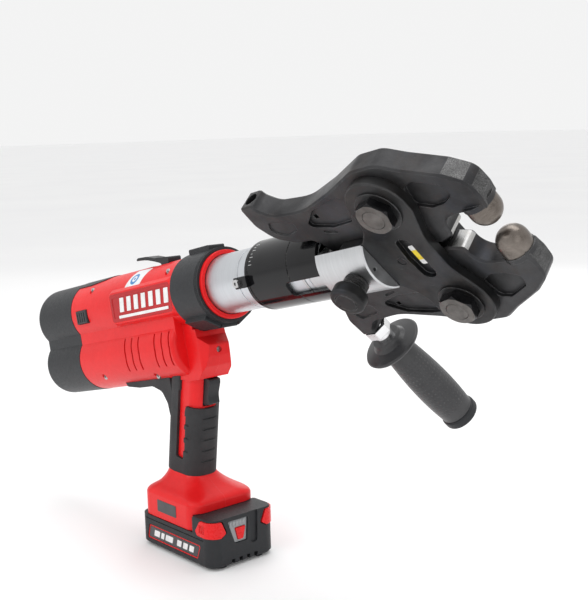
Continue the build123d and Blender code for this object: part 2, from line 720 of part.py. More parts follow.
def plate_spacer():
    s = rod_y(4.0, -PLATE_Y1 + 0.5, PLATE_Y1 - 0.5, 284, 0)
    s += rod_y(6.5, -PLATE_Y0, PLATE_Y0, 284, 0)
    return HEAD * s


def pivot_bolt(z):
    s = rod_y(PIVOT_R, -PLATE_Y1 - 9.9, PLATE_Y1 + 1.6, PIVOT_X, z)
    s = chamfer(s.faces().sort_by(Axis.Y)[0].edges(), 0.9)
    hexa = slab_y(hexagon(PIVOT_X, z, PIVOT_HEX, 0), PLATE_Y1 + 1.5, PLATE_Y1 + 9.5)
    s += hexa & hex_cone(z, 1)
    return HEAD * s


def hex_cone(z, side):
    """Chamfering cone that trims hexagon corners."""
    y = side * (PLATE_Y1 + 9.5)
    cone = Cone(PIVOT_HEX / 2 + 12.5, PIVOT_HEX / 2 + 0.1, 12.4)
    cone = Rot(-90, 0, 0) * cone if side > 0 else Rot(90, 0, 0) * cone
    return Pos(PIVOT_X, y - side * 6.2, z) * cone


def pivot_nut(z):
    s = slab_y(hexagon(PIVOT_X, z, PIVOT_HEX, 12), -PLATE_Y1 - 9.5, -PLATE_Y1 - 1.5)
    s = s & hex_cone(z, -1)
    return HEAD * (s - rod_y(PIVOT_R, -40, 0, PIVOT_X, z))


def pivot_washers():
    out = []
    for z in (-PIVOT_Z, PIVOT_Z):
        out.append(HEAD * tube_y(WASHER_R, PIVOT_R + RUN_GAP, PLATE_Y1, PLATE_Y1 + 1.5, PIVOT_X, z))
        out.append(HEAD * tube_y(WASHER_R, PIVOT_R + RUN_GAP, -PLATE_Y1 - 1.5, -PLATE_Y1, PIVOT_X, z))
    return Compound(children=out)


# ---------------------------------------------------------------- claw arms
def arm_outline():
    z = PIVOT_Z
    return [
        (164.5, 81.5, 2), (163.0, 61, 14), (171, 43, 22), (192, 33.2, 20), (207, 32.6, 6), (213, 27, 6),
        (215.5, 20, 3), (217, 13.6, 3), (232, 10.2, 8), (262, 10.2, 10), (276, 13.5, 14), (293, 13.5, 10),
        (306, 2.8, 5), (323, 2.8, 5), (336.5, 6.5, 5), (338.0, 24.6, 13), (357.5, 24.6, 1),
        (TIP_X + 11.0, 23.5, 2), (ARM_END_X, 34, 6), (ARM_END_X - 1, 49, 14), (366, 61.5, 16), (338, 75, 14),
        (322, 84.5, 16), (298, 85, 18), (262, 72.8, 90), (224, 63.0, 60), (190, 66.8, 18), (180, 76, 8),
        (179, 81.5, 2)]


def arm_pockets(side):
    """Forged recesses on one face of the upper arm."""
    y0, y1 = sorted((side * (ARM_HALF - 1.2), side * (ARM_HALF + 2)))
    d0, d1 = sorted((side * (ARM_HALF - POCKET_D), side * (ARM_HALF + 2)))
    s = slab_y([(174, 52, 6), (181, 61.5, 4), (205, 56.5, 4), (204, 47, 5), (186, 43.5, 8)], y0, y1)
    s += slab_y([(217.5, 49, 3), (234, 61.0, 3), (258, 66.5, 5), (272, 66.5, 4), (268, 50, 8), (262, 41.5, 4),
                 (240, 40.6, 6), (222, 45.5, 3)], d0, d1)
    s += slab_y([(228, 40.2, 1), (241, 36.8, 1), (240, 34.6, 1), (227, 38, 1)], y0, y1)
    s += slab_y([(327, 42, 4), (331, 60, 5), (341, 62.5, 4), (361, 53.5, 5), (364, 43, 5), (352, 37, 4),
                 (340, 36, 4)], d0, d1)
    return s


def arm_body():
    s = slab_y(arm_outline(), -ARM_HALF, ARM_HALF)
    flat = s.faces().filter_by(Axis.Y)
    s = chamfer(flat.edges(), 1.6)
    s += rod_z(TIP_R, TIP_REACH, 27, TIP_X, 0)
    s += rod_z(TIP_R + 0.8, 24.5, 28.5, TIP_X, 0)
    s += Pos(TIP_X, 0, TIP_REACH) * Sphere(TIP_R)
    for side in (-1, 1):
        s -= arm_pockets(side)
    s -= block(227.4, 231.6, -ARM_HALF, ARM_HALF, 51, 55)
    s -= rod_y(BUSH_R, -20, 20, PIVOT_X, PIVOT_Z)
    s -= rod_z(TAIL_THREAD_R, TAIL_Z - TAIL_THREAD_DEPTH + 1.5, 90, TAIL_X, 0)
    return biggest(s)


def upper_arm():
    return HEAD * arm_body()


def lower_arm():
    return HEAD * mirror(arm_body(), Plane.XY)


def arm_bush(z):
    return HEAD * tube_y(BUSH_R, PIVOT_R + RUN_GAP, -ARM_HALF, ARM_HALF, PIVOT_X, z)


# ---------------------------------------------------------------- side handle on the lower arm
def handle_stud():
    s = rod_z(TAIL_THREAD_R, -150, -TAIL_Z + TAIL_THREAD_DEPTH - 4, TAIL_X, 0)
    s += slab_z(hexagon(TAIL_X, 0, 20, 0), -89.5, -81.5)
    s += rod_z(8.2, -96, -89.5, TAIL_X, 0)
    return HEAD * s


def side_grip():
    """Turned rubber handle: thin hand guard, slow swell and a plain end."""
    pts = [(0, -96.1), (13, -96.1), (14, -99), (16.5, -102), (26.6, -104.4), (27.6, -105.8), (26.8, -107.4),
           (15, -110), (13.6, -114)]
    edges = [Line((pts[i][0], 0, pts[i][1]), (pts[i + 1][0], 0, pts[i + 1][1])) for i in range(len(pts) - 1)]
    edges.append(Spline((13.6, 0, -114), (15.8, 0, -136), (17.2, 0, -164), (15.8, 0, -200)))
    edges += [Line((15.8, 0, -200), (15.8, 0, -203)), Line((15.8, 0, -203), (0, 0, -203)),
              Line((0, 0, -203), (0, 0, -96.1))]
    s = revolve(Face(Wire(edges)), Axis.Z, 360)
    s -= rod_z(TAIL_THREAD_R, -152, -90, 0, 0)
    return HEAD * (Pos(TAIL_X, 0, 0) * biggest(s))


def handle_cap():
    s = rod_z(17.0, -212.5, -203.1)
    s = fillet(s.edges(), 2.6)
    s -= rod_z(7, -216, -210.8)
    return HEAD * (Pos(TAIL_X, 0, 0) * s)


# ---------------------------------------------------------------- battery pack


def battery_outer(grow):
    """Long flat case with a full-width tower at the front, grown outward or inward."""
    half = BATTERY_W / 2 + grow
    front = FRONT_X + grow
    corner = 12 + grow
    low = 2.4 - min(0, grow)
    s = slab_z(rect_points(0, 0, 2 * front, 2 * half, corner), low, BATTERY_H + grow)
    s += slab_z([(TOWER_X - grow, -half, 4), (front, -half, corner), (front, half, corner),
                 (TOWER_X - grow, half, 4)], BATTERY_H - 6, TOWER_H + grow)
    return s


def battery_case():
    front = FRONT_X
    s = battery_outer(0)
    s = chamfer(s.faces().sort_by(Axis.Z)[-1].edges(), 1.5)
    s = chamfer(s.faces().sort_by(Axis.Z)[0].edges(), 1.8)
    s += slab_z(rect_points(6, 0, 98, 58, 8), 0, 3)
    s -= battery_outer(-2.5)
    for side in (-1, 1):
        y0, y1 = sorted((side * (BATTERY_W / 2 - 0.8), side * 45))
        s -= slab_y([(-47, 7.5, 2), (36, 7.5, 2), (42, 22.5, 2), (-43, 22.5, 2)], y0, y1)
        y0, y1 = sorted((side * (BATTERY_W / 2 - 1.0), side * 45))
        s -= block(-52, 47, y0, y1, 27.6, 28.6)
        for k in range(4):
            s -= Pos(0, -side * LATCH_STROKE * k / 3, 0) * latch_shape(side, 0.4)
    for y in (-15.5, -6.5, 2.5, 11.5):
        s -= block(front - 6, front + 5, y, y + 4, -1, 7.5)
    s -= block(front - 9, front + 5, -19, 18, -1, 2.6)
    s -= slab_x(gauge_outline(0.2), front - 3.4, front + 5)
    s -= slab_x([(6.4, 60, 0), (7.6, 18, 3), (15.6, 17, 3), (17.4, 60, 0)], front - 1.8, front + 5)
    s -= block(-30, 20, -18, 18, BATTERY_H - 4, BATTERY_H + 3)
    return biggest(s)


def battery_rail():
    s = block(-30 + 0.1, 20 - 0.1, -17.9, 17.9, BATTERY_H - 2.4, BATTERY_H + 2)
    s += block(-29, 19, -13.5, 13.5, BATTERY_H + 2, BATTERY_H + 7)
    s += block(-29, 19, -16.5, 16.5, BATTERY_H + 7, BATTERY_H + 10)
    for k in range(5):
        y = -11 + 5.5 * k
        s -= block(-32, -8, y - 1, y + 1, BATTERY_H + 3, BATTERY_H + 12)
    return s


def latch_shape(side, grow):
    """Six-sided release button wrapped round a front corner of the battery."""
    front = FRONT_X
    half = BATTERY_W / 2
    shape = slab_y([(front - 24 - grow, 35.4 - grow / 2, 1.5), (front - 21, 31.8 - grow, 2),
                    (front + 3, 31.0 - grow, 1), (front + 3, 46.4 + grow, 1), (front - 16.5, 46.6 + grow, 3)],
                   -50, 50)
    nose = [(41, 31.0 - grow, 1), (28, 30.6 - grow, 2), (21.2 - grow, 34.6, 2), (26.6 - grow, 46.6 + grow, 2),
            (41, 46.8 + grow, 1)]
    shape &= slab_x([(side * y, z, r) for y, z, r in nose], 0, 90)
    shell = slab_z(rect_points(0, 0, BATTERY_L + 1.2, BATTERY_W + 1.6, 12.5), 20, 60)
    hollow = slab_z(rect_points(0, 0, BATTERY_L - 9, BATTERY_W - 9, 8), 10, 70)
    shape &= shell - hollow
    y0, y1 = sorted((side * 15.0, side * (half + 2)))
    return shape & block(20, 90, y0, y1, 20, 60)


def battery_latch(side):
    s = latch_shape(side, 0)
    edge = side * (BATTERY_W / 2 + 0.8)
    y0, y1 = sorted((edge - side * 0.9, edge + side))
    for k in range(3):
        s -= block(FRONT_X - 17.5 + 2.8 * k, FRONT_X - 16.2 + 2.8 * k, y0, y1, 35, 43)
    return biggest(s)


def gauge_outline(grow):
    """Charge gauge: right edge nearly upright, left edge leaning out towards the top."""
    y = GAUGE_Y
    return [(y - 7 - grow, 22.2 - grow, 1), (y + 7 + grow, 22.2 - grow, 1), (y + 8.6 + grow, 44.4 + grow, 1),
            (y - 15 - grow, 44.4 + grow, 1)]


def battery_gauge():
    x = FRONT_X - 3.2
    s = slab_x(gauge_outline(0), x, x + 1.4)
    for k in range(5):
        y0 = GAUGE_Y - 12.4 + 3.9 * k
        s += block(x + 1.2, x + 2.0, y0, y0 + 2.6, 38.4, 43.2)
    s -= slab_x(button_outline(0), x - 5, x + 5)
    return s


def button_outline(shrink):
    y = GAUGE_Y
    return [(y - 6.4 + shrink, 36.6 - shrink, 0.8), (y + 6.4 - shrink, 36.6 - shrink, 0.8),
            (y + 3.2 - shrink, 24.2 + shrink, 1.2), (y - 3.2 + shrink, 24.2 + shrink, 1.2)]


def gauge_button():
    return slab_x(button_outline(0.35), FRONT_X - 3.6, FRONT_X - 0.6)


def battery_cells():
    out = []
    for k in range(5):
        out.append(rod_y(9.2, -33.5, 33.5, -44 + 20 * k + 4, 14.5))
    return Compound(children=out)


def terminal_block():
    s = block(-31, 10, -10.5, 10.5, 46.6, 52)
    for k in range(5):
        y = -11 + 5.5 * k
        s += block(-26, -12, y - 0.5, y + 0.5, 37, 47)
    return s & block(-80, 80, -11.6, 11.6, 0, 100)


OUTER = body_solid(0)

PARTS = {
    "rear_cap": rear_cap,
    "front_collar": front_collar,
    "collar_ring": collar_ring,
    "grip_overmould": lambda: grip_overmould(OUTER),
    "release_lever": release_lever,
    "lever_mount": lever_mount,
    "side_button": side_button,
    "button_switch": button_switch,
    "trigger": trigger,
    "trigger_switch": trigger_switch,
    "name_panels": name_panels,
    "shell_screws": shell_screws,
    "motor_can": motor_can,
    "motor_rotor": motor_rotor,
    "cooling_fan": cooling_fan,
    "gearbox_case": gearbox_case,
    "planet_stage": planet_stage,
    "pump_gear": pump_gear,
    "pump_block": pump_block,
    "pump_plunger": pump_plunger,
    "oil_reservoir": oil_reservoir,
    "control_board": control_board,
    "press_cylinder": press_cylinder,
    "cylinder_gland": cylinder_gland,
    "ram": ram,
    "piston_seal": piston_seal,
    "roller_upper": lambda: roller(ROLLER_R + 0.25),
    "roller_lower": lambda: roller(-ROLLER_R - 0.25),
    "roller_axles": roller_axles,
    "ram_spring": ram_spring,
    "head_ring": head_ring,
    "black_sleeve": black_sleeve,
    "sleeve_clamp": sleeve_clamp,
    "clamp_screw": clamp_screw,
    "fork_head": fork_head,
    "attachment_pin": attachment_pin,
    "side_plate_right": lambda: side_plate(-1),
    "side_plate_left": lambda: side_plate(1),
    "plate_spacer": plate_spacer,
    "pivot_bolt_upper": lambda: pivot_bolt(PIVOT_Z),
    "pivot_bolt_lower": lambda: pivot_bolt(-PIVOT_Z),
    "pivot_nuts": lambda: Compound(children=[pivot_nut(PIVOT_Z), pivot_nut(-PIVOT_Z)]),
    "pivot_washers": pivot_washers,
    "upper_arm": upper_arm,
    "lower_arm": lower_arm,
    "arm_bush_upper": lambda: arm_bush(PIVOT_Z),
    "arm_bush_lower": lambda: arm_bush(-PIVOT_Z),
    "handle_stud": handle_stud,
    "side_grip": side_grip,
    "handle_cap": handle_cap,
    "battery_case": battery_case,
    "battery_rail": battery_rail,
    "battery_latch_right": lambda: battery_latch(-1),
    "battery_latch_left": lambda: battery_latch(1),
    "battery_gauge": battery_gauge,
    "gauge_button": gauge_button,
    "battery_cells": battery_cells,
    "terminal_block": terminal_block,
}

right_shell, left_shell = body_halves(OUTER)
export_step(right_shell, "parts/shell_right.step")
export_step(left_shell, "parts/shell_left.step")
for name, build in PARTS.items():
    export_step(build(), f"parts/{name}.step")
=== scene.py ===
"""Battery press tool with a swivelling claw head: finishes, labels and moulded detail on the CAD frame.

Metres, z up, x forward, battery foot on z = 0. Three local frames are used: the barrel's (TOOL), the press
head's, which is the barrel's turned about its own axis (HEAD), and the pistol grip's (GRIP).
"""
import math

import bmesh
import bpy
from mathutils import Matrix, Vector


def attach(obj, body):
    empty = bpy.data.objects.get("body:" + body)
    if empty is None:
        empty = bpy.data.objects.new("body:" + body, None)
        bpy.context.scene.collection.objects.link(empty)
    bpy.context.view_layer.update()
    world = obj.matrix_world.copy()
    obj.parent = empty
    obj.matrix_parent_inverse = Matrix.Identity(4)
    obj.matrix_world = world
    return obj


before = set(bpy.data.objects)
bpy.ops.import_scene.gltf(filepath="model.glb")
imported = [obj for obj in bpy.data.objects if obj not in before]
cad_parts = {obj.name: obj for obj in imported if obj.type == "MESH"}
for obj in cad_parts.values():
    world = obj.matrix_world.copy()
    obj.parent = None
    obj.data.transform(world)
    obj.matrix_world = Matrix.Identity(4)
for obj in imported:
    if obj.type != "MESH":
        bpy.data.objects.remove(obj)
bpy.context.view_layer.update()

MM = 0.001
BARREL_HEIGHT = 254 * MM
BARREL_TILT = math.radians(12.5)
SWIVEL = math.radians(43.5)
GRIP_LEAN = math.radians(7.7)
GRIP_FOOT_X = -30.6 * MM
BOLT_FACE = 27.7 * MM
HANDLE_X = 172.5 * MM
DIMPLE_COLUMNS = 26
DIMPLE_PITCH = 4.4 * MM
DIMPLE_LOW = -194 * MM
DIMPLE_HIGH = -122 * MM

TOOL = Matrix.Translation((0, 0, BARREL_HEIGHT)) @ Matrix.Rotation(-BARREL_TILT, 4, "Y")
HEAD = TOOL @ Matrix.Rotation(SWIVEL, 4, "X")
GRIP = Matrix.Translation((GRIP_FOOT_X, 0, 0)) @ Matrix.Rotation(GRIP_LEAN, 4, "Y")
ROW = Matrix.Identity(4)


# ------------------------------------------------------------------ camera
CAMERA_AZIMUTH = math.radians(49.11)
CAMERA_ELEVATION = math.radians(8.73)
CAMERA_ROLL = math.radians(-1.61)
CAMERA_TARGET = (0.14007, 0.0, 0.25902)
CAMERA_DISTANCE = 0.95837
SENSOR_WIDTH = 36.0
FOCAL_RATIO = 1.9052


def make_camera():
    azimuth, elevation, roll = CAMERA_AZIMUTH, CAMERA_ELEVATION, CAMERA_ROLL
    target = Vector(CAMERA_TARGET)
    back = Vector((math.sin(azimuth) * math.cos(elevation), -math.cos(azimuth) * math.cos(elevation),
                   math.sin(elevation)))
    right = Vector((math.cos(azimuth), math.sin(azimuth), 0))
    up = back.cross(right)
    right_rolled = math.cos(roll) * right + math.sin(roll) * up
    up_rolled = -math.sin(roll) * right + math.cos(roll) * up
    turn = Matrix((right_rolled, up_rolled, back)).transposed().to_4x4()
    data = bpy.data.cameras.new("camera")
    data.sensor_fit = "HORIZONTAL"
    data.sensor_width = SENSOR_WIDTH
    data.lens = FOCAL_RATIO * SENSOR_WIDTH
    data.clip_start = 0.02
    camera = bpy.data.objects.new("camera", data)
    camera.matrix_world = Matrix.Translation(target + back * CAMERA_DISTANCE) @ turn
    bpy.context.scene.collection.objects.link(camera)
    bpy.context.scene.camera = camera


# ------------------------------------------------------------------ node helpers
class Look:
    """One procedural material under construction."""

    def __init__(self, name, space=ROW):
        self.material = bpy.data.materials.new(name)
        self.material.use_nodes = True
        self.tree = self.material.node_tree
        self.shader = self.tree.nodes["Principled BSDF"]
        coords = self.tree.nodes.new("ShaderNodeTexCoord")
        self.raw = coords.outputs["Object"]
        self.at = self.local(space)
        self.normal = None

    def node(self, kind, **inputs):
        made = self.tree.nodes.new(kind)
        for key, value in inputs.items():
            self.put(made.inputs[key.replace("_", " ")], value)
        return made

    def put(self, socket, value):
        if isinstance(value, bpy.types.NodeSocket):
            self.tree.links.new(value, socket)
        else:
            socket.default_value = value

    def local(self, space):
        """Object coordinates read along the axes of a local frame."""
        if space is ROW:
            return self.raw
        origin = space.translation
        moved = self.tree.nodes.new("ShaderNodeVectorMath")
        moved.operation = "SUBTRACT"
        self.put(moved.inputs[0], self.raw)
        moved.inputs[1].default_value = origin
        joined = self.tree.nodes.new("ShaderNodeCombineXYZ")
        for i in range(3):
            dot = self.tree.nodes.new("ShaderNodeVectorMath")
            dot.operation = "DOT_PRODUCT"
            self.put(dot.inputs[0], moved.outputs[0])
            dot.inputs[1].default_value = space.to_3x3().col[i]
            self.put(joined.inputs[i], dot.outputs["Value"])
        return joined.outputs[0]

    def stretched(self, factors, vector=None):
        scaled = self.tree.nodes.new("ShaderNodeVectorMath")
        scaled.operation = "MULTIPLY"
        self.put(scaled.inputs[0], vector or self.at)
        scaled.inputs[1].default_value = factors
        return scaled.outputs[0]

    def noise(self, scale, detail=3.0, rough=0.55, vector=None, distortion=0.0):
        made = self.tree.nodes.new("ShaderNodeTexNoise")
        made.inputs["Scale"].default_value = scale
        made.inputs["Detail"].default_value = detail
        made.inputs["Roughness"].default_value = rough
        made.inputs["Distortion"].default_value = distortion
        self.put(made.inputs["Vector"], vector or self.at)
        return made.outputs["Fac"]

    def cells(self, scale, vector=None, feature="F1"):
        made = self.tree.nodes.new("ShaderNodeTexVoronoi")
        made.feature = feature
        made.inputs["Scale"].default_value = scale
        self.put(made.inputs["Vector"], vector or self.at)
        return made.outputs["Distance"]

    def math(self, operation, a, b=0.0, c=0.0, clamp=False):
        made = self.tree.nodes.new("ShaderNodeMath")
        made.operation = operation
        made.use_clamp = clamp
        for i, value in enumerate((a, b, c)):
            self.put(made.inputs[i], value)
        return made.outputs[0]

    def spread(self, value, low, high, to_low=0.0, to_high=1.0):
        made = self.tree.nodes.new("ShaderNodeMapRange")
        for i, item in enumerate((value, low, high, to_low, to_high)):
            self.put(made.inputs[i], item)
        return made.outputs[0]

    def mix(self, factor, a, b):
        made = self.tree.nodes.new("ShaderNodeMix")
        made.data_type = "RGBA"
        self.put(made.inputs["Factor"], factor)
        for key, value in (("A", a), ("B", b)):
            socket = [s for s in made.inputs if s.name == key and s.type == "RGBA"][0]
            self.put(socket, (*value, 1.0) if isinstance(value, tuple) and len(value) == 3 else value)
        return [s for s in made.outputs if s.type == "RGBA"][0]

    def split(self, vector=None):
        made = self.tree.nodes.new("ShaderNodeSeparateXYZ")
        self.put(made.inputs[0], vector or self.at)
        return made.outputs

    def edges(self, radius, low=0.04, high=0.35):
        """1 along convex and concave edges, 0 on flats."""
        bevel = self.tree.nodes.new("ShaderNodeBevel")
        bevel.samples = 4
        bevel.inputs["Radius"].default_value = radius
        geometry = self.tree.nodes.new("ShaderNodeNewGeometry")
        dot = self.tree.nodes.new("ShaderNodeVectorMath")
        dot.operation = "DOT_PRODUCT"
        self.put(dot.inputs[0], bevel.outputs[0])
        self.put(dot.inputs[1], geometry.outputs["Normal"])
        away = self.math("SUBTRACT", 1.0, dot.outputs["Value"])
        return self.spread(away, low, high)

    def soften(self, radius):
        """Rounds sharp edges in the shading."""
        bevel = self.tree.nodes.new("ShaderNodeBevel")
        bevel.samples = 4
        bevel.inputs["Radius"].default_value = radius
        self.normal = bevel.outputs[0]

    def bump(self, height, distance, strength=1.0):
        made = self.tree.nodes.new("ShaderNodeBump")
        made.inputs["Strength"].default_value = strength
        made.inputs["Distance"].default_value = distance
        self.put(made.inputs["Height"], height)
        if self.normal is not None:
            self.put(made.inputs["Normal"], self.normal)
        self.normal = made.outputs[0]

    def finish(self, color, roughness, metallic=0.0, specular=0.5):
        self.put(self.shader.inputs["Base Color"], (*color, 1.0) if isinstance(color, tuple) else color)
        self.put(self.shader.inputs["Roughness"], roughness)
        self.shader.inputs["Metallic"].default_value = metallic
        self.shader.inputs["Specular IOR Level"].default_value = specular
        if self.normal is not None:
            self.put(self.shader.inputs["Normal"], self.normal)
        return self.material


# ------------------------------------------------------------------ materials
def moulded(name, base, deep, worn, rough, grain=2600.0, depth=0.00004, space=TOOL, edge=0.0007,
            specular=0.3):
    """Injection-moulded plastic: faint flow mottling, eroded grain, lighter rubbed edges, fine scuffs."""
    look = Look(name, space)
    cloud = look.noise(14.0, 2.0, 0.5)
    mottle = look.noise(160.0, 3.0, 0.6)
    tone = look.math("ADD", look.math("MULTIPLY", cloud, 0.6), look.math("MULTIPLY", mottle, 0.4))
    color = look.mix(look.spread(tone, 0.3, 0.7), deep, base)
    rub = look.math("MULTIPLY", look.edges(edge), look.spread(look.noise(230.0, 4.0, 0.7), 0.42, 0.62))
    color = look.mix(look.math("MULTIPLY", rub, 0.55), color, worn)
    scuff = look.noise(1.0, 4.0, 0.7, look.stretched((90.0, 900.0, 500.0)))
    scuff = look.spread(scuff, 0.62, 0.72)
    color = look.mix(look.math("MULTIPLY", scuff, 0.10), color, worn)
    roughness = look.spread(look.noise(420.0, 3.0, 0.6), 0.3, 0.7, rough - 0.06, rough + 0.07)
    roughness = look.math("ADD", roughness, look.math("MULTIPLY", scuff, 0.08))
    look.soften(edge * 0.8)
    pits = look.math("ADD", look.noise(grain, 2.0, 0.6), look.math("MULTIPLY", look.cells(grain * 0.7), 0.5))
    look.bump(pits, depth, 0.55)
    look.bump(look.noise(60.0, 1.0, 0.4), 0.0004, 0.25)
    return look.finish(color, roughness, 0.0, specular)


def rubbery(name, base, deep, worn, space=GRIP):
    """Matt elastomer with a fine pebbled grain and dust in the hollows."""
    look = Look(name, space)
    tone = look.noise(35.0, 3.0, 0.6)
    color = look.mix(look.spread(tone, 0.35, 0.65), deep, base)
    dust_and_highlight = look.math("MULTIPLY", look.noise(120.0, 5.0, 0.7), look.spread(look.noise(22.0, 2.0), 0.4, 0.7))
    color = look.mix(look.math("MULTIPLY", dust_and_highlight, 0.35), color, worn)
    rub = look.edges(0.0006)
    color = look.mix(look.math("MULTIPLY", rub, 0.35), color, worn)
    pebbles = look.cells(1500.0)
    roughness = look.spread(pebbles, 0.0, 0.7, 0.52, 0.68)
    look.soften(0.0006)
    look.bump(pebbles, 0.00012, 0.7)
    look.bump(look.noise(5200.0, 2.0), 0.00003, 0.5)
    return look.finish(color, roughness, 0.0, 0.4)


def dimpled(name):
    """Handle rubber: rows of small round dimples along the grip over a satin skin, lightened by dust and a
    painted highlight.
    """
    look = Look(name, HEAD)
    x, y, z = look.split()
    offset = look.math("SUBTRACT", x, HANDLE_X)
    turn = look.math("ARCTAN2", y, offset)
    around = look.math("MULTIPLY", turn, DIMPLE_COLUMNS / math.tau)
    along = look.math("DIVIDE", z, DIMPLE_PITCH)
    du = look.math("SUBTRACT", look.math("FRACT", around), 0.5)
    dv = look.math("SUBTRACT", look.math("FRACT", along), 0.5)
    away = look.math("SQRT", look.math("ADD", look.math("MULTIPLY", du, du), look.math("MULTIPLY", dv, dv)))
    dot = look.spread(away, 0.16, 0.26, 1.0, 0.0)
    low = look.spread(z, DIMPLE_LOW, DIMPLE_LOW + 0.002)
    high = look.spread(z, DIMPLE_HIGH - 0.002, DIMPLE_HIGH, 1.0, 0.0)
    dot = look.math("MULTIPLY", dot, look.math("MULTIPLY", low, high))
    tone = look.noise(35.0, 3.0, 0.6)
    color = look.mix(look.spread(tone, 0.35, 0.65), (0.020, 0.020, 0.022), (0.034, 0.034, 0.036))
    rub = look.edges(0.0006)
    color = look.mix(look.math("MULTIPLY", rub, 0.35), color, (0.10, 0.10, 0.10))
    # Lighter dimples: partly dust, partly a painted highlight for the light the dimples catch.
    dust_and_highlight = look.math("MULTIPLY", dot, look.spread(look.noise(60.0, 4.0, 0.6), 0.4, 0.7))
    color = look.mix(look.math("MULTIPLY", dust_and_highlight, 0.5), color, (0.11, 0.11, 0.11))
    grain = look.noise(1900.0, 3.0, 0.6)
    roughness = look.spread(grain, 0.3, 0.7, 0.30, 0.42)
    look.soften(0.0006)
    look.bump(look.math("SUBTRACT", 1.0, dot), 0.0005, 0.8)
    look.bump(grain, 0.00005, 0.5)
    return look.finish(color, roughness, 0.0, 0.55)


def turned(name, base, deep, space, rough=0.26, rings=5200.0, sheen=0.5, metallic=1.0, axis=0, dirt=0.25):
    """Lathe-turned metal: rings round the axis, faint lengthwise streaks, fingerprints and edge polish."""
    look = Look(name, space)
    stretch = [30.0, 30.0, 30.0]
    stretch[axis] = rings
    ring = look.noise(1.0, 3.0, 0.7, look.stretched(tuple(stretch)))
    stretch[axis] = rings / 9
    band = look.noise(1.0, 2.0, 0.6, look.stretched(tuple(stretch)))
    smudge = look.noise(38.0, 4.0, 0.62, distortion=0.6)
    tone = look.math("ADD", look.math("MULTIPLY", ring, 0.35),
                     look.math("ADD", look.math("MULTIPLY", band, 0.35), look.math("MULTIPLY", smudge, 0.3)))
    color = look.mix(look.spread(tone, 0.34, 0.66), deep, base)
    stain = look.spread(look.noise(70.0, 5.0, 0.7), 0.58, 0.78)
    color = look.mix(look.math("MULTIPLY", stain, dirt), color, tuple(c * 0.55 for c in deep))
    polish = look.edges(0.0005)
    roughness = look.spread(ring, 0.3, 0.7, rough - 0.05, rough + 0.09)
    roughness = look.math("ADD", roughness, look.math("MULTIPLY", look.spread(smudge, 0.45, 0.7), 0.10))
    roughness = look.math("SUBTRACT", roughness, look.math("MULTIPLY", polish, 0.06))
    color = look.mix(look.math("MULTIPLY", polish, 0.4), color, tuple(min(1.0, c * 1.2) for c in base))
    look.soften(0.0004)
    look.bump(ring, 0.00002, sheen)
    return look.finish(color, roughness, metallic)


def forged_black(name, space=HEAD, base=(0.060, 0.060, 0.062), deep=(0.030, 0.030, 0.032),
                 rust=(0.060, 0.047, 0.040), bright=(0.24, 0.24, 0.24), rough=0.40, grain=900.0,
                 depth=0.00009):
    """Black-oxide forging: brown and blue mottling, shot-blast grain, edges rubbed to grey steel."""
    look = Look(name, space)
    blotch = look.noise(26.0, 5.0, 0.62, distortion=0.4)
    color = look.mix(look.spread(blotch, 0.36, 0.64), deep, base)
    brown = look.spread(look.noise(48.0, 4.0, 0.66), 0.52, 0.72)
    color = look.mix(look.math("MULTIPLY", brown, 0.38), color, rust)
    blue = look.spread(look.noise(33.0, 3.0, 0.6, look.stretched((1.0, 1.3, 0.8))), 0.55, 0.75)
    color = look.mix(look.math("MULTIPLY", blue, 0.25), color, (0.05, 0.06, 0.085))
    rub = look.math("MULTIPLY", look.edges(0.0009), look.spread(look.noise(180.0, 5.0, 0.7), 0.38, 0.6))
    color = look.mix(look.math("MULTIPLY", rub, 0.75), color, bright)
    scratch = look.noise(1.0, 2.0, 0.8, look.stretched((60.0, 700.0, 1500.0)))
    scratch = look.spread(scratch, 0.70, 0.76)
    color = look.mix(look.math("MULTIPLY", scratch, 0.35), color, bright)
    shot = look.math("ADD", look.cells(grain), look.math("MULTIPLY", look.noise(grain * 2.2, 3.0, 0.6), 0.8))
    smear = look.noise(44.0, 4.0, 0.6)
    roughness = look.spread(smear, 0.32, 0.68, rough - 0.09, rough + 0.12)
    roughness = look.math("SUBTRACT", roughness, look.math("MULTIPLY", rub, 0.12))
    look.soften(0.0011)
    look.bump(shot, depth, 0.5)
    look.bump(look.noise(75.0, 2.0, 0.5), 0.0003, 0.35)
    return look.finish(color, roughness, 0.82)


def oiled_bolt(name):
    """Hexagon head: glossy black flanks deepened by painted shade, rubbed grey-brown end face with turning marks,
    bright corners.
    """
    look = Look(name, HEAD)
    cloud = look.noise(70.0, 4.0, 0.6, distortion=0.4)
    # Near-black flanks: their black finish deepened by painted shade; the end face is lighter from rubbing.
    flank = look.mix(look.spread(cloud, 0.35, 0.65), (0.008, 0.008, 0.009), (0.026, 0.026, 0.028))
    face = look.mix(look.spread(cloud, 0.35, 0.65), (0.085, 0.078, 0.072), (0.16, 0.150, 0.142))
    outward = look.math("ABSOLUTE", look.split()[1])
    crown = look.spread(outward, BOLT_FACE - 0.0004, BOLT_FACE - 0.0001)
    color = look.mix(crown, flank, face)
    rub = look.math("MULTIPLY", look.edges(0.0006), look.spread(look.noise(260.0, 4.0, 0.7), 0.38, 0.6))
    color = look.mix(look.math("MULTIPLY", rub, 0.55), color, (0.34, 0.33, 0.32))
    grain = look.noise(2400.0, 3.0, 0.65)
    roughness = look.math("ADD", look.spread(grain, 0.3, 0.7, 0.16, 0.28), look.math("MULTIPLY", crown, 0.16))
    look.soften(0.0006)
    look.bump(grain, 0.00003, 0.5)
    return look.finish(color, roughness, 0.7)


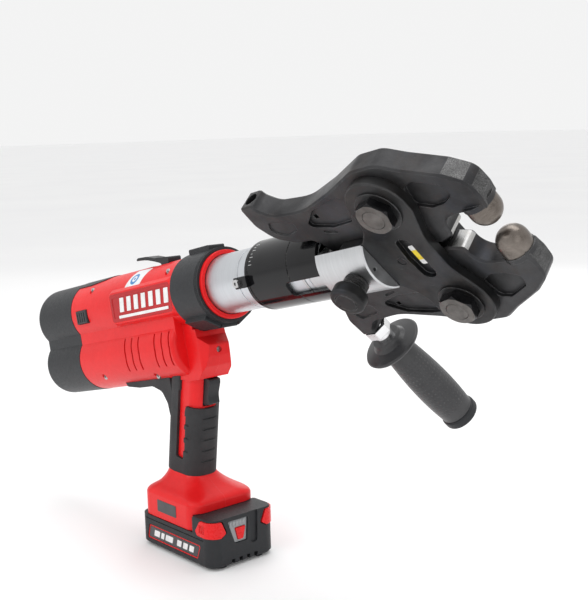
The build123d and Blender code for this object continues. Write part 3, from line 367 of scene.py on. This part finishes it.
def ground_steel(name, space=HEAD, base=(0.62, 0.62, 0.61), deep=(0.40, 0.40, 0.40), rough=0.30, axis=1):
    """Ground working face: parallel grinding lines, a few heat tints and handling marks."""
    look = Look(name, space)
    stretch = [4200.0, 4200.0, 4200.0]
    stretch[axis] = 60.0
    line = look.noise(1.0, 3.0, 0.7, look.stretched(tuple(stretch)))
    smudge = look.noise(55.0, 4.0, 0.6, distortion=0.5)
    color = look.mix(look.spread(line, 0.3, 0.7), deep, base)
    tint = look.spread(smudge, 0.5, 0.75)
    color = look.mix(look.math("MULTIPLY", tint, 0.3), color, (0.34, 0.29, 0.23))
    rub = look.edges(0.0006)
    color = look.mix(look.math("MULTIPLY", rub, 0.5), color, (0.75, 0.75, 0.74))
    roughness = look.math("ADD", look.spread(line, 0.3, 0.7, rough - 0.07, rough + 0.08),
                          look.math("MULTIPLY", tint, 0.1))
    look.soften(0.0006)
    look.bump(line, 0.00002, 0.6)
    return look.finish(color, roughness, 1.0)


def lacquer(name, space=HEAD):
    """Gloss black lacquer over a turned sleeve: orange peel, hairline swirls, dust and edge chips."""
    look = Look(name, space)
    tone = look.noise(20.0, 3.0, 0.5)
    color = look.mix(look.spread(tone, 0.35, 0.65), (0.003, 0.003, 0.0035), (0.007, 0.007, 0.008))
    chips = look.math("MULTIPLY", look.edges(0.0007), look.spread(look.noise(300.0, 4.0, 0.7), 0.5, 0.6))
    color = look.mix(look.math("MULTIPLY", chips, 0.6), color, (0.25, 0.24, 0.23))
    swirl = look.spread(look.noise(1.0, 3.0, 0.8, look.stretched((2400.0, 60.0, 60.0))), 0.55, 0.75)
    dust_and_highlight = look.spread(look.noise(140.0, 5.0, 0.75), 0.6, 0.75)
    roughness = look.math("ADD", look.math("MULTIPLY", swirl, 0.08), look.math("MULTIPLY", dust_and_highlight, 0.12))
    roughness = look.math("ADD", roughness, 0.10)
    look.soften(0.0007)
    look.bump(look.noise(240.0, 2.0, 0.5), 0.0001, 0.2)
    return look.finish(color, roughness, 0.0, 0.26)


def bronze(name):
    look = Look(name, HEAD)
    pores = look.cells(2600.0)
    tone = look.noise(90.0, 4.0, 0.6)
    color = look.mix(look.spread(tone, 0.35, 0.65), (0.38, 0.22, 0.09), (0.62, 0.42, 0.18))
    color = look.mix(look.spread(pores, 0.0, 0.12, 0.6, 0.0), color, (0.10, 0.06, 0.03))
    look.bump(pores, 0.00003, 0.5)
    return look.finish(color, look.spread(tone, 0.3, 0.7, 0.26, 0.42), 1.0)


def cast_alloy(name, space=TOOL):
    look = Look(name, space)
    lumps = look.noise(420.0, 4.0, 0.65)
    tone = look.noise(40.0, 3.0, 0.55)
    color = look.mix(look.spread(tone, 0.35, 0.65), (0.46, 0.46, 0.47), (0.64, 0.64, 0.65))
    rub = look.edges(0.0006)
    color = look.mix(look.math("MULTIPLY", rub, 0.5), color, (0.80, 0.80, 0.80))
    look.bump(lumps, 0.00015, 0.6)
    return look.finish(color, look.spread(lumps, 0.3, 0.7, 0.36, 0.52), 1.0)


def circuit(name):
    """Board: green solder mask with copper lanes showing through it and pale pad rows."""
    look = Look(name, TOOL)
    weave = look.noise(1.0, 2.0, 0.5, look.stretched((2600.0, 2600.0, 2600.0)))
    x, _, z = look.split()
    lane = look.math("PINGPONG", look.math("MULTIPLY", look.math("ADD", x, z), 300.0), 0.5)
    lane = look.spread(lane, 0.20, 0.24)
    color = look.mix(lane, (0.008, 0.10, 0.035), (0.02, 0.19, 0.07))
    color = look.mix(look.spread(weave, 0.4, 0.7, 0.0, 0.3), color, (0.03, 0.15, 0.07))
    look.bump(lane, 0.00004, 0.6)
    return look.finish(color, look.spread(weave, 0.3, 0.7, 0.25, 0.4), 0.0)


def to_local_barrel(x, angle, radius):
    """Point on the barrel in its own frame, in metres."""
    t = math.radians(angle)
    return x * MM, radius * math.cos(t) * MM, radius * math.sin(t) * MM


def make_materials():
    red = dict(base=(0.78, 0.011, 0.013), deep=(0.66, 0.006, 0.008), worn=(0.86, 0.10, 0.09), specular=0.28)
    black = dict(base=(0.021, 0.023, 0.026), deep=(0.013, 0.014, 0.016), worn=(0.10, 0.10, 0.105),
                 specular=0.32)
    return {
        "red": moulded("red_body_plastic", rough=0.34, **red),
        "red_fine": moulded("red_button_plastic", rough=0.28, grain=4200.0, space=ROW, **red),
        "black": moulded("black_body_plastic", rough=0.46, grain=2200.0, depth=0.00006, **black),
        "black_battery": moulded("black_battery_plastic", rough=0.50, grain=2000.0, depth=0.00007, space=ROW,
                                 **black),
        "black_switch": moulded("black_switch_plastic", rough=0.38, grain=3400.0, **black),
        "grey": moulded("grey_window_plastic", (0.36, 0.37, 0.38), (0.27, 0.28, 0.29), (0.6, 0.6, 0.6), 0.35,
                        3800.0, space=ROW),
        "rubber": rubbery("grip_rubber", (0.022, 0.022, 0.024), (0.013, 0.013, 0.015), (0.08, 0.08, 0.08)),
        "grip": dimpled("handle_rubber"),
        "silver": turned("turned_silver_tube", (0.62, 0.64, 0.67), (0.54, 0.56, 0.58), TOOL, 0.34, sheen=0.25,
                         dirt=0.12),
        "silver_head": turned("turned_silver_head", (0.60, 0.61, 0.62), (0.50, 0.51, 0.52), HEAD, 0.36, 4200.0,
                              sheen=0.3, dirt=0.12),
        "steel": turned("turned_steel", (0.60, 0.60, 0.60), (0.42, 0.42, 0.42), HEAD, 0.26, 6000.0),
        "steel_body": turned("machined_steel", (0.56, 0.56, 0.56), (0.38, 0.38, 0.38), TOOL, 0.30, 5000.0),
        "chrome": turned("plated_stud", (0.86, 0.86, 0.87), (0.74, 0.74, 0.75), HEAD, 0.10, 2600.0, 0.2,
                         axis=2),
        "forged": forged_black("black_oxide_forging"),
        "plate": forged_black("black_oxide_plate", base=(0.046, 0.046, 0.047), deep=(0.022, 0.022, 0.023),
                              rough=0.36, grain=1500.0, depth=0.00005),
        "bolt": oiled_bolt("oiled_black_bolt"),
        "knob": forged_black("black_oxide_knob", base=(0.042, 0.042, 0.043), deep=(0.022, 0.022, 0.023),
                             rough=0.44, grain=3000.0, depth=0.00004),
        "ground": ground_steel("ground_contact_face"),
        "lacquer": lacquer("gloss_black_lacquer"),
        "bronze": bronze("sintered_bronze"),
        "alloy": cast_alloy("cast_alloy"),
        "board": circuit("circuit_board"),
        "panel": moulded("panel_red_plastic", (0.50, 0.014, 0.018), (0.40, 0.009, 0.012),
                         (0.75, 0.12, 0.11), 0.42, 1900.0, 0.00009),
        "white_print": label_film("white_print", (0.86, 0.86, 0.86), (0.70, 0.70, 0.70)),
        "label_dark": label_film("dark_label", (0.055, 0.056, 0.06), (0.035, 0.036, 0.04), ROW, 0.34),
        "ring_label": ring_sticker("ring_sticker", TOOL, to_local_barrel(-67, 135, 33.2), 0.0052),
        "slot_label": striped_sticker("slot_sticker", HEAD, 0.0, 0.0052, 2),
        "finger": finger_steel("hardened_fingertip"),
        "blasted": blasted_steel("ground_end_face"),
    }


NODE_LOOKS = {
    "red": ["shell_right", "shell_left", "collar_ring"],
    "red_fine": ["battery_latch_right", "battery_latch_left", "gauge_button"],
    "black": ["rear_cap", "front_collar", "lever_mount", "oil_reservoir", "cooling_fan", "handle_cap"],
    "panel": ["name_panels"],
    "black_battery": ["battery_case", "battery_rail", "terminal_block"],
    "black_switch": ["side_button", "button_switch", "trigger", "trigger_switch", "release_lever",
                     "piston_seal"],
    "grey": ["battery_gauge"],
    "rubber": ["grip_overmould"],
    "grip": ["side_grip"],
    "silver": ["press_cylinder"],
    "silver_head": ["fork_head"],
    "steel": ["ram", "roller_upper", "roller_lower", "roller_axles", "ram_spring", "head_ring", "cylinder_gland",
              "clamp_screw"],
    "steel_body": ["motor_can", "motor_rotor", "planet_stage", "pump_gear", "pump_plunger", "shell_screws",
                   "battery_cells"],
    "chrome": ["handle_stud"],
    "forged": ["upper_arm", "lower_arm"],
    "plate": ["side_plate_right", "side_plate_left", "pivot_washers"],
    "bolt": ["pivot_bolt_upper", "pivot_bolt_lower", "pivot_nuts", "plate_spacer"],
    "knob": ["attachment_pin"],
    "lacquer": ["black_sleeve", "sleeve_clamp"],
    "bronze": ["arm_bush_upper", "arm_bush_lower"],
    "alloy": ["gearbox_case", "pump_block"],
    "board": ["control_board"],
}


def dress_frame(looks):
    """Gives every CAD node its finish, in all of its material slots."""
    left = set(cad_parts)
    for key, names in NODE_LOOKS.items():
        for name in names:
            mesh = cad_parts[name].data
            if not mesh.materials:
                mesh.materials.append(looks[key])
            for i in range(len(mesh.materials)):
                mesh.materials[i] = looks[key]
            left.discard(name)
    if left:
        raise RuntimeError(f"nodes without a finish: {sorted(left)}")


# ------------------------------------------------------------------ piece helpers
def to_world(space, x, y, z):
    return space @ Vector((x * MM, y * MM, z * MM))


def make_piece(name, verts, faces, space, look, body, soft_edge=0.25, segments=2, smooth=True):
    """A mesh piece from millimetre points in a local frame, with rounded edges, riding a body."""
    mesh = bpy.data.meshes.new(name)
    mesh.from_pydata([to_world(space, *v) for v in verts], [], faces)
    made = bmesh.new()
    made.from_mesh(mesh)
    bmesh.ops.remove_doubles(made, verts=made.verts, dist=1e-7)
    bmesh.ops.recalc_face_normals(made, faces=made.faces)
    made.to_mesh(mesh)
    made.free()
    piece = bpy.data.objects.new(name, mesh)
    bpy.context.scene.collection.objects.link(piece)
    mesh.materials.append(look)
    if smooth:
        mesh.polygons.foreach_set("use_smooth", [True] * len(mesh.polygons))
    if soft_edge > 0:
        bevel = piece.modifiers.new("edges", "BEVEL")
        bevel.width = soft_edge * MM
        bevel.segments = segments
        bevel.limit_method = "ANGLE"
        bevel.angle_limit = math.radians(32)
        bevel.harden_normals = True
    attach(piece, body)
    return piece


def rounded(points, steps=5):
    """Polygon with each (u, v, radius) corner turned into an arc."""
    out = []
    count = len(points)
    for i in range(count):
        u, v, r = points[i]
        corner = Vector((u, v))
        a = (Vector(points[i - 1][:2]) - corner).normalized()
        b = (Vector(points[(i + 1) % count][:2]) - corner).normalized()
        if r <= 0 or a.angle(b) > math.pi - 0.05:
            out.append(corner)
            continue
        half = a.angle(b) / 2
        centre = corner + (a + b).normalized() * (r / math.sin(half))
        start = corner + a * (r / math.tan(half)) - centre
        end = corner + b * (r / math.tan(half)) - centre
        for k in range(steps + 1):
            out.append(centre + start.lerp(end, k / steps).normalized() * r)
    return out


def slab(name, points, low, high, space, look, body, soft_edge=0.25):
    """Rounded outline in x and z, thickened along y of its frame."""
    ring = rounded(points)
    count = len(ring)
    verts = [(p.x, low, p.y) for p in ring] + [(p.x, high, p.y) for p in ring]
    faces = [tuple(range(count)), tuple(range(2 * count - 1, count - 1, -1))]
    faces += [(i, (i + 1) % count, count + (i + 1) % count, count + i) for i in range(count)]
    return make_piece(name, verts, faces, space, look, body, soft_edge)


def frame_ring(name, outer, inner, low, high, space, look, body, soft_edge=0.3):
    """Closed frame between two matching rounded outlines in x and z, standing along y."""
    a, b = rounded(outer), rounded(inner)
    count = len(a)
    verts = [(p.x, low, p.y) for p in a] + [(p.x, low, p.y) for p in b]
    verts += [(p.x, high, p.y) for p in b] + [(p.x, high, p.y) for p in a]
    faces = []
    for i in range(count):
        j = (i + 1) % count
        for lap in range(4):
            here, there = lap * count, (lap + 1) % 4 * count
            faces.append((here + i, here + j, there + j, there + i))
    return make_piece(name, verts, faces, space, look, body, soft_edge)


def box_points(cx, cz, lx, lz, r):
    return [(cx - lx / 2, cz - lz / 2, r), (cx + lx / 2, cz - lz / 2, r), (cx + lx / 2, cz + lz / 2, r),
            (cx - lx / 2, cz + lz / 2, r)]


def barrel_patch(name, points, r_in, r_out, space, look, body, soft_edge=0.1, cells=26):
    """Curved plate on a barrel. points are (x, angle in degrees from +y towards +z, radius) corners."""
    scale = math.radians(1) * r_out
    ring = rounded([(x, a * scale, r) for x, a, r in points], 4)
    flat = bmesh.new()
    flat.faces.new([flat.verts.new((p.x, p.y, 0)) for p in ring])
    lows = [min(p[i] for p in ring) for i in (0, 1)]
    highs = [max(p[i] for p in ring) for i in (0, 1)]
    for k in range(1, cells):
        cut = lows[1] + (highs[1] - lows[1]) * k / cells
        bmesh.ops.bisect_plane(flat, geom=flat.verts[:] + flat.edges[:] + flat.faces[:], plane_co=(0, cut, 0),
                               plane_no=(0, 1, 0))
    grown = bmesh.ops.extrude_face_region(flat, geom=flat.faces[:])
    for item in grown["geom"]:
        if isinstance(item, bmesh.types.BMVert):
            item.co.z = 1.0
    verts, faces = [], []
    flat.verts.index_update()
    for v in flat.verts:
        angle = v.co.y / r_out
        r = r_out if v.co.z > 0.5 else r_in
        verts.append((v.co.x, r * math.cos(angle), r * math.sin(angle)))
    for f in flat.faces:
        faces.append([v.index for v in f.verts])
    flat.free()
    return make_piece(name, verts, faces, space, look, body, soft_edge, 1)


def spun(name, profile, axis_point, axis, space, look, body, turns=64):
    """Solid of revolution from (radius, height) points about an axis line in the local frame."""
    base, along = Vector(axis_point), Vector(axis).normalized()
    side = along.orthogonal().normalized()
    other = along.cross(side)
    verts, faces, rings = [], [], []
    for r, h in profile:
        if r < 1e-6:
            rings.append([len(verts)])
            verts.append(tuple(base + along * h))
            continue
        ids = []
        for k in range(turns):
            t = 2 * math.pi * k / turns
            ids.append(len(verts))
            verts.append(tuple(base + along * h + (side * math.cos(t) + other * math.sin(t)) * r))
        rings.append(ids)
    for a, b in zip(rings, rings[1:]):
        for k in range(turns):
            j = (k + 1) % turns
            if len(a) == 1 and len(b) == 1:
                continue
            if len(a) == 1:
                faces.append((a[0], b[k], b[j]))
            elif len(b) == 1:
                faces.append((a[k], b[0], a[j]))
            else:
                faces.append((a[k], b[k], b[j], a[j]))
    return make_piece(name, verts, faces, space, look, body, 0.0)


def edge_band(name, path, half_width, lift, thick, space, look, body):
    """Thin skin that follows part of an arm's edge profile in x and z, across y."""
    count = len(path)
    verts, faces = [], []
    for i, p in enumerate(path):
        ahead = path[min(i + 1, count - 1)] - path[max(i - 1, 0)]
        out = Vector((ahead.y, -ahead.x)).normalized()
        for depth in (lift - thick, lift):
            for y in (-half_width, half_width):
                verts.append((p.x + out.x * depth, y, p.y + out.y * depth))
    for i in range(count - 1):
        a, b = 4 * i, 4 * (i + 1)
        faces += [(a, a + 1, b + 1, b), (a + 2, b + 2, b + 3, a + 3)]
        faces += [(a, b, b + 2, a + 2), (a + 1, a + 3, b + 3, b + 1)]
    faces += [(0, 2, 3, 1), (4 * count - 4, 4 * count - 3, 4 * count - 1, 4 * count - 2)]
    return make_piece(name, verts, faces, space, look, body, 0.08, 1)


# ------------------------------------------------------------------ label and trim finishes
def label_film(name, base, deep, space=TOOL, rough=0.38):
    """Printed vinyl: faint print grain, soft dirt."""
    look = Look(name, space)
    grain = look.noise(3200.0, 2.0, 0.6)
    cloud = look.noise(90.0, 4.0, 0.6)
    color = look.mix(look.spread(cloud, 0.3, 0.7), deep, base)
    dirt = look.spread(look.noise(210.0, 5.0, 0.7), 0.58, 0.75)
    color = look.mix(look.math("MULTIPLY", dirt, 0.22), color, tuple(c * 0.45 for c in deep))
    look.bump(grain, 0.00002, 0.4)
    return look.finish(color, look.spread(grain, 0.3, 0.7, rough - 0.06, rough + 0.08))


def ring_sticker(name, space, centre, ring_radius):
    """White film with one plain blue ring and dot."""
    look = Look(name, space)
    away = look.tree.nodes.new("ShaderNodeVectorMath")
    away.operation = "DISTANCE"
    look.put(away.inputs[0], look.at)
    away.inputs[1].default_value = centre
    off = look.math("ABSOLUTE", look.math("SUBTRACT", away.outputs["Value"], ring_radius))
    ring = look.spread(off, ring_radius * 0.26, ring_radius * 0.34, 1.0, 0.0)
    dot = look.spread(away.outputs["Value"], ring_radius * 0.28, ring_radius * 0.36, 1.0, 0.0)
    mark = look.math("MAXIMUM", ring, dot)
    cloud = look.noise(110.0, 4.0, 0.6)
    white = look.mix(look.spread(cloud, 0.3, 0.7), (0.66, 0.68, 0.70), (0.84, 0.85, 0.86))
    color = look.mix(mark, white, (0.02, 0.20, 0.48))
    look.bump(look.noise(3000.0, 2.0), 0.00002, 0.4)
    return look.finish(color, look.spread(cloud, 0.3, 0.7, 0.30, 0.42))


def striped_sticker(name, space, centre, half_length, axis):
    """White film with a yellow middle field."""
    look = Look(name, space)
    place = look.split()[axis]
    off = look.math("ABSOLUTE", look.math("SUBTRACT", place, centre))
    middle = look.spread(off, half_length * 0.96, half_length * 1.04, 1.0, 0.0)
    cloud = look.noise(160.0, 4.0, 0.6)
    white = look.mix(look.spread(cloud, 0.3, 0.7), (0.62, 0.62, 0.62), (0.82, 0.82, 0.80))
    yellow = look.mix(look.spread(cloud, 0.3, 0.7), (0.72, 0.52, 0.02), (0.86, 0.66, 0.03))
    look.bump(look.noise(3000.0, 2.0), 0.00002, 0.4)
    return look.finish(look.mix(middle, white, yellow), look.spread(cloud, 0.3, 0.7, 0.34, 0.46))


def finger_steel(name):
    """Hardened fingertip: brown heat tint over polished steel, wear at the crown."""
    look = Look(name, HEAD)
    tint = look.noise(60.0, 4.0, 0.6, distortion=0.5)
    color = look.mix(look.spread(tint, 0.34, 0.66), (0.105, 0.088, 0.076), (0.20, 0.175, 0.155))
    fine = look.noise(1.0, 3.0, 0.7, look.stretched((400.0, 400.0, 3800.0)))
    color = look.mix(look.spread(fine, 0.45, 0.75, 0.0, 0.4), color, (0.30, 0.27, 0.24))
    look.bump(fine, 0.00003, 0.5)
    return look.finish(color, look.spread(tint, 0.3, 0.7, 0.22, 0.38), 0.9)


def blasted_steel(name):
    """Coarse ground end face: bright peaks in dark valleys."""
    look = Look(name, HEAD)
    rough = look.noise(1500.0, 4.0, 0.75)
    cloud = look.noise(90.0, 3.0, 0.6)
    color = look.mix(look.spread(rough, 0.40, 0.62), (0.040, 0.040, 0.040), (0.22, 0.22, 0.22))
    color = look.mix(look.spread(cloud, 0.3, 0.7, 0.0, 0.6), color, (0.045, 0.045, 0.046))
    look.bump(rough, 0.0002, 0.8)
    return look.finish(color, look.spread(rough, 0.3, 0.7, 0.30, 0.50), 0.9)


# ------------------------------------------------------------------ pieces
LOBE_R = 33.0
PLATE_FACE = 18.3
SLOT_FLOOR = PLATE_FACE - 4.5
ARM_HALF = 10.0
TIP_X = 370.0
TIP_R = 12.5
TIP_REACH = 17.5
BATTERY_HALF_W = 38.5
PANEL_X = -50
PANEL_Z = -1.5
BORDER_SLOPE = 3.4
SKIN_LIFT = 0.12
SKIN_THICK = 0.5
BASE_HALF_W = 37.5
CAP_LIFT = 0.16


def sloped_frame(name, outer, inner, side, look):
    """Raised border on the barrel: outer foot sunk in the shell, sloping sides, narrow crest, inner drop."""
    crest_out = [(x + math.copysign(BORDER_SLOPE, PANEL_X - x), z + math.copysign(BORDER_SLOPE, PANEL_Z - z), r)
                 for x, z, r in outer]
    laps = [(rounded(outer), 0.0, True), (rounded(crest_out), 0.9, False), (rounded(inner), 0.9, False),
            (rounded(inner), -2.4, False)]
    verts = []
    for ring, rise, foot in laps:
        for p in ring:
            y = math.sqrt(max(LOBE_R ** 2 - p.y ** 2, 0.0)) - 0.35 if foot else LOBE_R - 0.45 + rise
            verts.append((p.x, side * y, p.y))
    count = len(laps[0][0])
    faces = []
    for lap in range(len(laps) - 1):
        for i in range(count):
            j = (i + 1) % count
            faces.append((lap * count + i, lap * count + j, (lap + 1) * count + j, (lap + 1) * count + i))
    return make_piece(name, verts, faces, TOOL, look, "tool", 0.5)


def brand_free_panels(looks):
    """Raised border round each side panel, one white underline and plain slanted bars instead of a name."""
    for side, tag in ((-1, "right"), (1, "left")):
        face = side * (LOBE_R + 0.45)
        sloped_frame(f"panel_frame_{tag}", box_points(PANEL_X, PANEL_Z, 119, 38, 7),
                     box_points(PANEL_X, PANEL_Z, 107.4, 27.4, 2.8), side, looks["red"])
        slab(f"panel_line_{tag}", box_points(-47, -11.0, 88, 2.8, 0.5), face - side * 0.4, face + side * 0.15,
             TOOL, looks["white_print"], "tool", 0.05)
        for k in range(7):
            x = -88 + 13.2 * k
            bar = [(x, -6.4, 0.6), (x + 7.2, -6.4, 0.6), (x + 9.8, 7.6, 0.6), (x + 2.6, 7.6, 0.6)]
            slab(f"panel_bar_{tag}_{k + 1}", bar, face - side * 0.4, face + side * 0.15, TOOL,
                 looks["white_print"], "tool", 0.05)


def barrel_labels(looks):
    sticker = [(-81, 152, 1.2), (-54, 154, 1.2), (-47, 113, 1.2), (-74, 111, 1.2)]
    barrel_patch("ring_label", sticker, LOBE_R - 0.1, LOBE_R + 0.18, TOOL, looks["ring_label"], "tool",
                 0.04)
    barrel_patch("rear_saddle", [(-187, 58, 0), (-187, 122, 0), (-160, 122, 8), (-133, 112, 9), (-133, 68, 9),
                                 (-160, 58, 8)], LOBE_R - 0.6, LOBE_R + 0.75, TOOL, looks["black"], "tool",
                 0.35)
    for k in range(7):
        angle = 122 + 6.5 * k
        length = 2.4 if k % 2 else 4.2
        tick = [(120.6, angle - 0.32, 0), (120.6 + length, angle - 0.32, 0), (120.6 + length, angle + 0.32, 0),
                (120.6, angle + 0.32, 0)]
        barrel_patch(f"sleeve_tick_{k + 1}", tick, 30.9, 31.06, TOOL, looks["white_print"], "press_head",
                     0.0, 2)
    inset = [(14, 96, 1), (14, 84, 1), (36, 84, 1), (36, 96, 1)]
    barrel_patch("lug_mark", inset, 38.0, 39.0, TOOL, looks["red"],
                 "tool", 0.25, 6)


def plate_stickers(looks):
    for side, tag in ((-1, "right"), (1, "left")):
        low = side * (SLOT_FLOOR - 0.05)
        strip = [(295.6, -10, 1.5), (301.6, -10, 1.5), (301.6, 10, 1.5), (295.6, 10, 1.5)]
        slab(f"slot_label_{tag}", strip, low,
             low + side * 0.35, HEAD, looks["slot_label"], "press_head", 0.08)


def base_labels(looks):
    for side, tag in ((-1, "right"), (1, "left")):
        face = side * BASE_HALF_W
        slab(f"type_plate_{tag}", box_points(-12.8, 45.0, 31, 11.6, 0.8), face - side * 0.3, face + side * 0.35,
             ROW, looks["label_dark"], "tool", 0.12)


def battery_trim(looks):
    floor = BATTERY_HALF_W - 0.8
    outer = [(-46.5, 8, 1.6), (35.7, 8, 1.6), (41.4, 22.0, 1.6), (-42.6, 22.0, 1.6)]
    inner = [(-45.3, 9.0, 1.1), (35.0, 9.0, 1.1), (39.9, 21.0, 1.1), (-41.8, 21.0, 1.1)]
    for side, tag in ((-1, "right"), (1, "left")):
        frame_ring(f"battery_outline_{tag}", outer, inner, side * (floor - 0.2), side * (floor + 0.28), ROW,
                   looks["red_fine"], "battery", 0.08)
        plate = [(-44.6, 9.6, 0.9), (34.6, 9.6, 0.9), (39.0, 20.4, 0.9), (-41.4, 20.4, 0.9)]
        slab(f"battery_plate_{tag}", plate,
             side * (floor - 0.2), side * (floor + 0.16), ROW, looks["label_dark"], "battery",
             0.05)
        for k, (x, width) in enumerate(((-36, 9), (-24.5, 5), (-17, 12), (2, 7), (12, 7), (22, 7))):
            bar = [(x, 12.0, 0.5), (x + width, 12.0, 0.5), (x + width + 1.8, 18.2, 0.5), (x + 1.8, 18.2, 0.5)]
            slab(f"battery_bar_{tag}_{k + 1}", bar, side * (floor - 0.2), side * (floor + 0.3), ROW,
                 looks["white_print"], "battery", 0.05)


def arm_trim(looks):
    """Hardened fingertips and the ground outer ends of both arms."""
    for flip, tag, body in ((1, "upper", "arm_up"), (-1, "lower", "arm_low")):
        profile = [(TIP_R + 0.02, 24.3)]
        profile += [(TIP_R + CAP_LIFT, 24.0), (TIP_R + CAP_LIFT, TIP_REACH)]
        for k in range(1, 15):
            t = math.pi / 2 * k / 14
            profile.append(((TIP_R + CAP_LIFT) * math.cos(t), TIP_REACH - (TIP_R + CAP_LIFT) * math.sin(t)))
        profile[-1] = (0.0, TIP_REACH - TIP_R - CAP_LIFT)
        spun(f"fingertip_{tag}", profile, (TIP_X, 0, 0), (0, 0, flip), HEAD, looks["finger"], body)
        end = rounded([(366.2, 61.4, 0), (382, 49, 16), (383, 34, 6), (381.2, 24.6, 0)], 8)
        path = [Vector((p.x, p.y * flip)) for p in end]
        if flip > 0:
            path.reverse()
        edge_band(f"ground_end_{tag}", path, ARM_HALF - 1.9, SKIN_LIFT, SKIN_THICK, HEAD, looks["blasted"], body)
        nose = rounded([(322.2, 2.8, 0), (336.5, 6.4, 5), (336.9, 14.0, 0)], 8)
        path = [Vector((p.x, p.y * flip)) for p in nose]
        if flip < 0:
            path.reverse()
        edge_band(f"contact_pad_{tag}", path, ARM_HALF - 1.8, SKIN_LIFT, SKIN_THICK, HEAD, looks["ground"], body)


def make_pieces(looks):
    brand_free_panels(looks)
    barrel_labels(looks)
    plate_stickers(looks)
    base_labels(looks)
    battery_trim(looks)
    arm_trim(looks)


# ------------------------------------------------------------------ floor and light
FLOOR_HALF = 40.0
FLOOR_DROP = 0.0002
WORLD_STRENGTH = 0.90
LAMP_AIM = (0.08, 0.0, 0.28)
# name, place, size and power in watts
LAMPS = [("key", (-0.2, -1.5, 1.5), (1.2, 0.9), 8.0), ("fill", (1.9, -0.7, 0.7), (1.0, 1.4), 2.5),
         ("top", (0.1, 0.3, 1.9), (1.6, 0.8), 11.0), ("rim", (-1.2, 1.5, 1.0), (0.8, 1.2), 4.0)]


def floor_material():
    look = Look("pale_floor")
    cloud = look.noise(1.6, 4.0, 0.5)
    color = look.mix(look.spread(cloud, 0.3, 0.7), (0.93, 0.93, 0.935), (0.96, 0.96, 0.96))
    look.bump(look.noise(700.0, 3.0), 0.00005, 0.3)
    return look.finish(color, look.spread(cloud, 0.3, 0.7, 0.75, 0.85), 0.0, 0.1)


def make_floor():
    mesh = bpy.data.meshes.new("floor")
    half = FLOOR_HALF
    mesh.from_pydata([(-half, -half, 0), (half, -half, 0), (half, half, 0), (-half, half, 0)], [], [(0, 1, 2, 3)])
    floor = bpy.data.objects.new("floor", mesh)
    floor.location.z = -FLOOR_DROP
    floor.data.materials.append(floor_material())
    bpy.context.scene.collection.objects.link(floor)


def area_light(name, place, aim, size, power):
    data = bpy.data.lights.new(name, "AREA")
    data.shape = "RECTANGLE"
    data.size, data.size_y = size
    data.energy = power
    lamp = bpy.data.objects.new(name, data)
    facing = (Vector(aim) - Vector(place)).to_track_quat("-Z", "Y").to_matrix().to_4x4()
    lamp.matrix_world = Matrix.Translation(place) @ facing
    bpy.context.scene.collection.objects.link(lamp)


def make_light():
    world = bpy.data.worlds.new("studio")
    world.use_nodes = True
    background = world.node_tree.nodes["Background"]
    background.inputs["Color"].default_value = (1.0, 1.0, 1.0, 1.0)
    background.inputs["Strength"].default_value = WORLD_STRENGTH
    bpy.context.scene.world = world
    bpy.context.scene.view_settings.view_transform = "Standard"
    for name, place, size, power in LAMPS:
        area_light(name, place, LAMP_AIM, size, power)


make_camera()
looks = make_materials()
dress_frame(looks)
make_pieces(looks)
make_floor()
make_light()
